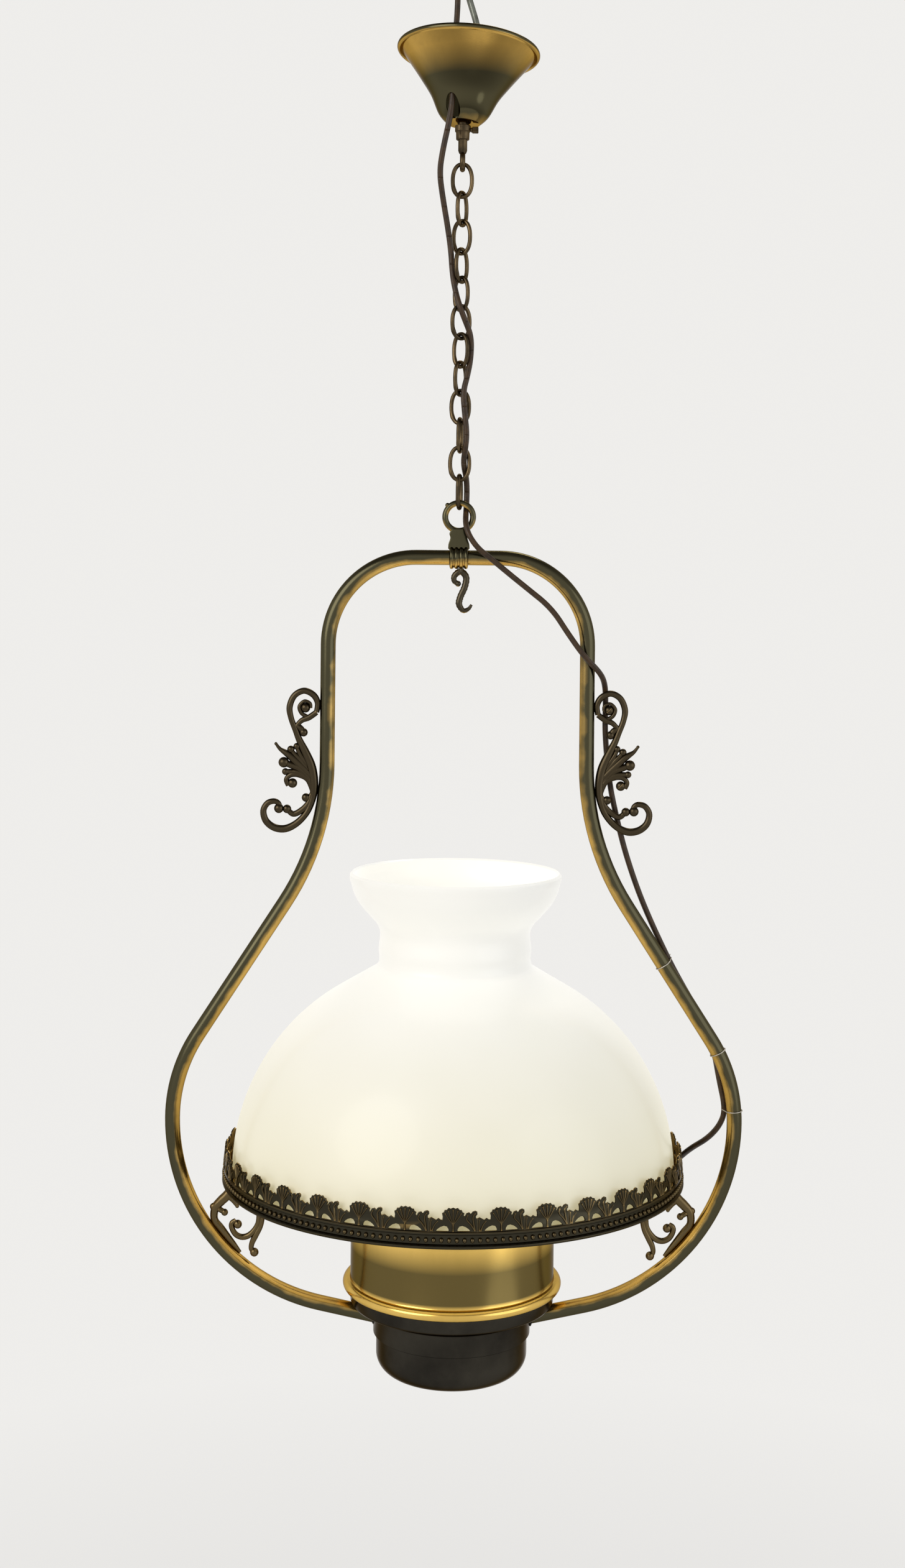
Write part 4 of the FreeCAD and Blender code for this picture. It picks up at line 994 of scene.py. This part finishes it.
dress_pair("bracket_%s_piece", right_bracket, bracket_bronze, "dark_brass", "frame", "bracket_%s")

# %% [markdown]
# ## Opal dome
# The dome is blown into a mould, so it is round and its wall is even. Two arcs of different radius
# make the dome, and a smooth line makes the vase neck and the flared rim, which ends in a ground
# and rounded lip. The wall is the same line, set inwards, so the outline closes on itself.

# %% The dome
SHADE_BASE = LEDGE + 0.3
GLASS = 3.0
LOWER_RADIUS = 160.0
UPPER_RADIUS = 164.0
ARC_CENTRE = 15.4
ARCS_MEET = 24
step = UPPER_RADIUS - LOWER_RADIUS
turn = math.radians(ARCS_MEET)
lower_arc = bend((ARC_CENTRE, SHADE_BASE), LOWER_RADIUS, 0, ARCS_MEET, 12)
upper_centre = (ARC_CENTRE - step * math.cos(turn), SHADE_BASE - step * math.sin(turn))
upper_arc = bend(upper_centre, UPPER_RADIUS, ARCS_MEET, 60, 16)[1:]
neck = flow([(64.5, -793.0), (61.2, -789.5), (60.3, -784), (60.9, -777), (59.9, -765),
             (62.6, -757), (69.5, -749.2), (76.3, -741.2), (80.9, -733.3), (83.5, -724.5)])
outer = lower_arc + upper_arc + neck
inner = []
for n, (x, z) in enumerate(outer):
    (x0, z0), (x1, z1) = outer[max(n - 1, 0)], outer[min(n + 1, len(outer) - 1)]
    share = GLASS / math.hypot(x1 - x0, z1 - z0)
    inner.append((x - share * (z1 - z0), z + share * (x1 - x0)))
lip = [(84.6, -721.6), (84.4, -718.2), (82.6, -716.4), (80.8, -717.6)]
dome = lathe("opal_dome", outer + lip + inner[::-1], 128)
dress(dome, opal, "opal_glass", "shade", "opal_shade")

# %% [markdown]
# ## Font, holder and bowl
# The font is the brass drum that once held oil. It drops into the holder and rests on a rolled
# flange. All of these are spun sheet, so the lathe makes them, with a formula for each roll.

# %% The drum
FONT = 81.0
FONT_TOP = -975.0
FLANGE = -1042.0
drum_line = above(FONT_TOP, (24.0, 9), (50, 7.6), (70, 3.6))
drum_line += bend((FONT - 4, FONT_TOP - 3.6), 4.0, 70, 0, 6)
drum_line += above(FLANGE, (FONT, 5.2), (FONT + 0.5, 4.0))
drum_line += bend((FONT + 2.0, FLANGE), 4.0, 100, -90, 14)
drum_line += above(FLANGE, (74.2, -4.0), (74.0, -10.4), (0, -10.4))
drum = lathe("font_drum", drum_line, 128, False)
dress(drum, drum_brass, "old_brass", "frame", "font_shell")

# %% The holder ring
HOLDER_TOP = FLANGE - 3.8
holder_line = above(HOLDER_TOP, (80.6, 0), (80.8, -9.6), (79.6, -11.4))
holder_line += flow(above(HOLDER_TOP, (76.0, -13.0), (67.5, -16.0), (63.2, -18.6),
                          (62.4, -20.4)), 4)
holder_line += above(HOLDER_TOP, (62.4, -35.6), (61.9, -36.0), (60.9, -36.0), (60.9, -19.0),
                     (66.0, -14.4), (78.9, -10.0), (78.9, 0))
holder = lathe("holder_ring_piece", holder_line, 128)
sockets = []
for side in (1, -1):
    place = spot(side * (belly[-1][0] - 43), 0, belly[-1][1] - 9.1)
    turn = math.radians(90 + side * (90 - BELLY_TURN))
    sockets.append(stub("tube_collar", place, 7.5, 3.5, (0, turn, 0)))
dress(join("holder_ring_piece", [holder] + sockets), dark_bowl, "dark_brass", "frame",
      "holder_ring")

# %% The bowl
BOWL_FOOT = -1112.5
bowl_line = [(60.0, HOLDER_TOP - 32), (60.0, BOWL_FOOT + 15)]
bowl_line += bend((45.0, BOWL_FOOT + 15), 15.0, 0, -84, 14)
bowl_line += above(BOWL_FOOT, (24.0, -0.2), (8.0, -0.4), (0, -0.4))
font_bowl = lathe("font_bowl_piece", bowl_line, 128, False)
dress(font_bowl, dark_bowl, "dark_brass", "frame", "font_bowl")

# %% [markdown]
# ## Lampholder and bulb
# Inside the dome, where the burner used to be, an ivory lampholder stands on a brass collar. The
# bulb's cap has a rolled screw thread, drawn as ridges in the lathe's outline.

# %% The lampholder
SOCKET_FOOT = FONT_TOP + 16
EXIT_TURN = 0.3050
burner = lathe("burner_collar_piece", above(
    FONT_TOP, (0, 8), (24, 8), (24, 9), (26.4, 9), (27, 9.6), (27, 11.4), (25.6, 12.6),
    (22.2, 14.4), (21.5, 16), (0, 16)), 64, False)
dress(burner, drum_brass, "old_brass", "frame", "burner_collar")
holder_cup = above(SOCKET_FOOT, (0, 0), (19.4, 0), (20, 0.8))
for n in range(4):
    holder_cup += above(SOCKET_FOOT + 22 + 2.6 * n, (20, 0), (19.3, 0.4), (19.3, 1.2), (20, 1.6))
holder_cup += above(SOCKET_FOOT, (20, 32.4), (16.6, 43), (15.6, 44), (14.4, 44), (14.0, 17.2),
                    (0, 17.2))
cup = lathe("lampholder_piece", holder_cup, 64, False)
exit_way = Vector((math.cos(EXIT_TURN), math.sin(EXIT_TURN), 0))
gland = lathe("cord_gland", [(2.7, 0), (4.2, 0), (4.2, 4.6), (3.6, 5.6), (3.3, 7.0), (2.7, 7.0)],
              28)
gland.data.transform(
    Matrix.Translation(exit_way * 0.0188 + UP * (SOCKET_FOOT + 11) * MM)
    @ exit_way.to_track_quat("Z", "Y").to_matrix().to_4x4())
dress(join("lampholder_piece", [cup, gland]), old_ivory, "ivory_plastic", "frame", "lampholder")

# %% The bulb
CAP_FOOT = SOCKET_FOOT + 17.3
cap_line = above(CAP_FOOT, (0, 0), (4.6, 0), (5.0, 0.8), (11.6, 4.6))
for n in range(6):
    cap_line += above(CAP_FOOT + 5.4 + 2.8 * n, (12.3, 0), (13.1, 1.0), (13.1, 1.6), (12.3, 2.4))
cap_line += above(CAP_FOOT, (13.0, 23.0), (13.0, 24), (0, 24))
dress(lathe("bulb_cap_piece", cap_line, 48, False), thin_metal, "cap_metal", "bulb", "bulb_cap")
BULB = 29.8
glass_foot = CAP_FOOT + 24
glass_middle = glass_foot + 50
glass_line = flow(above(glass_foot, (12.4, 0), (13.4, 8), (18.6, 22)), 6)[:-1]
glass_line += bend((0, glass_middle), BULB, -48, 90, 24)
bulb_glass = lathe("bulb_glass_piece", glass_line, 64, False)
dress(bulb_glass, frosted, "frosted_glass", "bulb", "bulb_glass")

# %% [markdown]
# ## Cord
# A round flex in a brown sheath runs from the block down through the canopy, winds loosely along
# the chain, goes through the hanger's ring and follows the right side of the harp down to the
# gallery, where it turns in under the band to the lampholder. Its route is a list of given points,
# in the solid's own places, and a NURBS line through their neighbourhood gives its curve.

# %% The routes
drop_route = [(-5, -9, -16), (-5.0, -9.5, -30), (-6.8, -14, -54), (-8.3, -17, -80),
              (-8.5, -17.2, -108)]
chain_route = [
    (-12.0, -17.6, -126), (-15.5, -15.6, -142), (-18.4, -11.6, -160), (-15.2, -6.6, -181),
    (-11.7, -4.4, -200), (-8.6, -2.0, -220), (-7.2, -1.6, -240), (-4.3, -3.8, -255),
    (-1.0, -6.6, -266), (3.4, -5.0, -277), (8.4, -1.8, -289), (8.2, 0.2, -306),
    (5.4, -3.8, -321), (2.1, -6.4, -334), (3.8, -7.6, -352), (5.5, -7.0, -367),
    (4.4, -5.8, -379), (2.8, 0.0, -390.4), (6.0, 8.0, -403), (6.0, 10.2, -421.8)]
frame_route = [
    (4.6, -10.2, -441.8), (13.6, -12.2, -457), (26.0, -10.9, -466.5), (39.3, -9.8, -477.4),
    (54.0, -7.2, -489), (74.3, -6.2, -505), (88.0, -8.2, -526), (101.0, -11.4, -544),
    (113.6, -6.0, -556), (118.4, 4.6, -566), (119.0, 7.6, -582), (118.6, 7.4, -606),
    (122.6, 7.4, -646), (129.4, 7.2, -676), (136.8, 6.8, -704), (150.0, 7.0, -741),
    (171.2, 7.2, -786), (187.6, 8.9, -815), (199.4, 9.0, -834), (209.0, 9.2, -859.4),
    (213.0, 8.6, -882), (218.2, 7.0, -905.6), (214.6, 10.2, -919), (205.6, 17.4, -932),
    (193.0, 31.0, -944)]
lead_route = [
    (184.0, 47.0, -958), (169.0, 53.0, -970), (142.0, 47.0, -977), (112.0, 37.0, -975),
    (84.0, 27.0, -964), (56.0, 17.6, -951.0), (36.0, 11.33, -948.0), (20.6, 6.48, -948.0)]
CORD = 2.3
frame_start = (Vector(chain_route[-1]) + Vector(frame_route[0])) / 2


def cord_line(name, points, radius=CORD):
    """A NURBS curve with the route's points as its control points, and a round section."""
    curve = bpy.data.curves.new(name, "CURVE")
    curve.dimensions = "3D"
    spline = curve.splines.new("NURBS")
    spline.points.add(len(points) - 1)
    for control, point in zip(spline.points, points):
        control.co = (*(Vector(point) * MM), 1)
    spline.order_u = 3
    spline.use_endpoint_u = True
    spline.resolution_u = 8
    curve.bevel_depth = radius * MM
    curve.bevel_resolution = 4
    curve.use_fill_caps = True
    return show(bpy.data.objects.new(name, curve))


def line_length(points):
    """The real length of the NURBS line in metres, measured on a copy without its section."""
    probe = cord_line("probe", points, 0)
    view = bpy.context.evaluated_depsgraph_get()
    spots = [v.co for v in bpy.data.meshes.new_from_object(probe.evaluated_get(view)).vertices]
    bpy.data.objects.remove(probe)
    return sum((b - a).length for a, b in zip(spots, spots[1:]))


# %% [markdown]
# The stretch along the harp never moves against it, so it is one curve. The stretch along the
# chain has to follow twelve joints. It is made as one smooth tube and then cut at the middle of
# each link into short lengths.

# %% The cord on the harp
harp_points = [frame_start] + frame_route + lead_route
harp_length = line_length(harp_points)
harp_cord = cord_line("cord_on_harp", harp_points)
harp_cord.data.materials.append(flex_sheath)
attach(harp_cord, "frame")
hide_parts("cord_frame", "cord_lead")
print("Cord on the harp:", round(harp_length, 3), "m")

# %% The cord along the chain
upper_points = drop_route + chain_route + [frame_start]
upper_length = line_length(upper_points)
upper_cord = cord_line("cord_upper", upper_points)
pick(upper_cord)
bpy.ops.object.convert(target="MESH")
upper_cord = bpy.context.object
soften(upper_cord, 60)
upper_cord.data.materials.append(flex_sheath)
print("Cord from the block to the hanger:", round(upper_length, 3), "m")


# %% Cut it at each link
def stretch(name, source, top, foot):
    """A copy of the cord between two levels in millimetres, cut flat at each that is given."""
    part = twin(name, source, Matrix.Identity(4))
    pick(part)
    for level, keep_below in ((top, True), (foot, False)):
        if level is None:
            continue
        edit_all()
        bpy.ops.mesh.bisect(plane_co=spot(0, 0, level), plane_no=(0, 0, 1),
                            clear_outer=keep_below, clear_inner=not keep_below, use_fill=True)
        object_mode()
    return part


CANOPY_FOOT = -128.0
link_middles = [(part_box(n)[0].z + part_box(n)[1].z) / 2 / MM for n in link_names]
cord_drop = stretch("cord_at_canopy", upper_cord, None, CANOPY_FOOT)
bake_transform(cord_drop)
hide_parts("cord_drop")
tops = [CANOPY_FOOT] + link_middles
feet = link_middles + [None]
for n, (top, foot) in enumerate(zip(tops, feet)):
    part = stretch("cord_at_link_%02d" % (n + 1), upper_cord, top, foot)
    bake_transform(part)
    if n == 0:
        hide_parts("cord_chain")
bpy.data.objects.remove(upper_cord)
print("The upper cord is in", len(tops) + 1, "lengths")

# %% [markdown]
# Three turns of thin tinned wire tie the cord to the tube, at three points of its route. Each tie
# is a loop whose shape is the tight outline round two circles, one for the tube and one for the
# cord. The upper tie is on the harp's straight slope, and the other two are on its belly.

# %% The ties
WIRE_GAP = 0.5
UPPER_TIE, MIDDLE_TIE, LOWER_TIE = 16, 19, 21


def tie(name, tube_point, along, cord_point, node_name):
    """A loop of wire round the tube and the cord that lies against it."""
    across = Vector((0, 1, 0))
    side = along.cross(across).normalized()
    reach = cord_point - tube_point
    cu, cv = reach.dot(side), reach.dot(across)
    tube_reach, cord_reach = TUBE + WIRE_GAP, CORD + WIRE_GAP
    loop = []
    for u, v in bend((0, 0), 1.0, 0, 360, 48)[:-1]:
        if u * cu + v * cv + cord_reach > tube_reach:
            u, v = cu + u * cord_reach, cv + v * cord_reach
        else:
            u, v = u * tube_reach, v * tube_reach
        loop.append((tube_point + side * u + across * v) * MM)
    made = wire(name, loop, 0.45, closed=True, sides=2)
    end = loop[12]
    twist = wire(name, [end, end + spot(1.0, 1.6, 1.4), end + spot(2.2, 2.0, 3.4)], 0.4, sides=2)
    dress(join(name, [made, twist]), tin_wire, "tie_wire", "frame", node_name)


slope_way = Vector((math.sin(lean), 0, -math.cos(lean)))
slope_start = Vector((flare[-1][0], 0, flare[-1][1]))
first_tie = Vector(frame_route[UPPER_TIE])
on_slope = slope_start + slope_way * (first_tie - slope_start).dot(slope_way)
tie("tie_upper", on_slope, slope_way, first_tie, "cord_tie_1")
for name, number, node_name in (("tie_middle", MIDDLE_TIE, "cord_tie_2"),
                                ("tie_lower", LOWER_TIE, "cord_tie_3")):
    point = Vector(frame_route[number])
    flat = Vector((point.x - belly_x, 0, point.z - belly_z)).normalized()
    tube_point = Vector((belly_x, 0, belly_z)) + flat * BELLY_UPPER
    tie(name, tube_point, Vector((flat.z, 0, -flat.x)), point, node_name)

# %% [markdown]
# ## Floor, light and camera
# The lamp hangs in front of a pale, even background. The floor is a disc that shows the shadow in
# its middle and fades into the background at its rim, by a mix that follows the distance from the
# centre. Large soft lamps light the metal, so that its reflections have long soft edges.

# %% The world
PALE = (0.86, 0.85, 0.83)


def empty_tree(owner):
    owner.use_nodes = True
    owner.node_tree.nodes.clear()
    return owner.node_tree


world = bpy.data.worlds.new("pale_room")
bpy.context.scene.world = world
tree = empty_tree(world)
rays = node(tree, "ShaderNodeLightPath").outputs
sky = node(tree, "ShaderNodeTexCoord").outputs["Generated"]
height = node(tree, "ShaderNodeSeparateXYZ", Vector=sky).outputs["Z"]
room_colour = blend_colours(tree, ramp(tree, height, -0.35, 0.75), (0.16, 0.15, 0.14),
                            (0.92, 0.93, 0.96))
room = node(tree, "ShaderNodeBackground", Color=room_colour, Strength=0.5)
steep = ramp(tree, combine(tree, "ABSOLUTE", height), 0.35, 0.85)
shaded = combine(tree, "SUBTRACT", steep, rays["Is Camera Ray"])
seen = node(tree, "ShaderNodeBackground", Strength=1.0,
            Color=blend_colours(tree, shaded, PALE, (0.20, 0.19, 0.18)))
mirrored = combine(tree, "MAXIMUM", rays["Is Glossy Ray"], rays["Is Transmission Ray"])
looked_at = combine(tree, "MAXIMUM", rays["Is Camera Ray"], mirrored)
choose = node(tree, "ShaderNodeMixShader", looked_at, room.outputs[0], seen.outputs[0])
node(tree, "ShaderNodeOutputWorld", Surface=choose.outputs[0])
print("The world has", len(tree.nodes), "nodes")

# %% The floor
FLOOR = -1.62
floor_material = bpy.data.materials.new("pale_floor")
tree = empty_tree(floor_material)
place = node(tree, "ShaderNodeTexCoord").outputs["Object"]
fade = ramp(tree, vector_math(tree, "LENGTH", "Value", place), 0.25, 1.3, 0.55, 1.0)
matt = node(tree, "ShaderNodeBsdfDiffuse", Color=PALE)
glow = node(tree, "ShaderNodeEmission", Color=PALE, Strength=1.0)
choose = node(tree, "ShaderNodeMixShader", fade, matt.outputs[0], glow.outputs[0])
node(tree, "ShaderNodeOutputMaterial", Surface=choose.outputs[0])
deselect()
bpy.ops.mesh.primitive_circle_add(vertices=96, radius=1.4, fill_type="NGON",
                                  location=(0, 0, FLOOR))
floor = bpy.context.object
floor.name = "floor"
floor.data.materials.append(floor_material)
print("The floor lies at", FLOOR, "m")


# %% The lamps
LAMP_MIDDLE = Vector((0, 0, -0.72))


def soft_lamp(name, place, size, power, colour):
    """A large round area lamp that looks at the lamp's middle."""
    deselect()
    bpy.ops.object.light_add(type="AREA", location=place)
    lamp = bpy.context.object
    lamp.name = name
    lamp.data.shape = "DISK"
    lamp.data.size = size
    lamp.data.energy = power
    lamp.data.color = colour
    lamp.rotation_euler = (LAMP_MIDDLE - Vector(place)).to_track_quat("-Z", "Y").to_euler()
    print(name, power, "W")


soft_lamp("key_light", (-1.9, -2.0, 0.5), 2.4, 40, (1.0, 0.97, 0.92))
soft_lamp("fill_light", (2.2, -1.4, -0.3), 2.4, 15, (0.93, 0.96, 1.0))
soft_lamp("back_light", (0.6, 1.7, 1.7), 1.0, 18, (1.0, 0.98, 0.95))

# %% The camera
camera_data = bpy.data.cameras.new("view")
camera = show(bpy.data.objects.new("view", camera_data))
camera.location = (-0.0048, -1.630, -0.486)
camera.rotation_euler = (math.pi / 2, -math.radians(0.55), 0)
camera_data.sensor_width = 36.0
camera_data.lens = 46.86
camera_data.shift_y = -0.128
bpy.context.scene.camera = camera
bpy.context.scene.view_settings.view_transform = "Standard"
print("Camera at", tuple(round(v, 3) for v in camera.location))
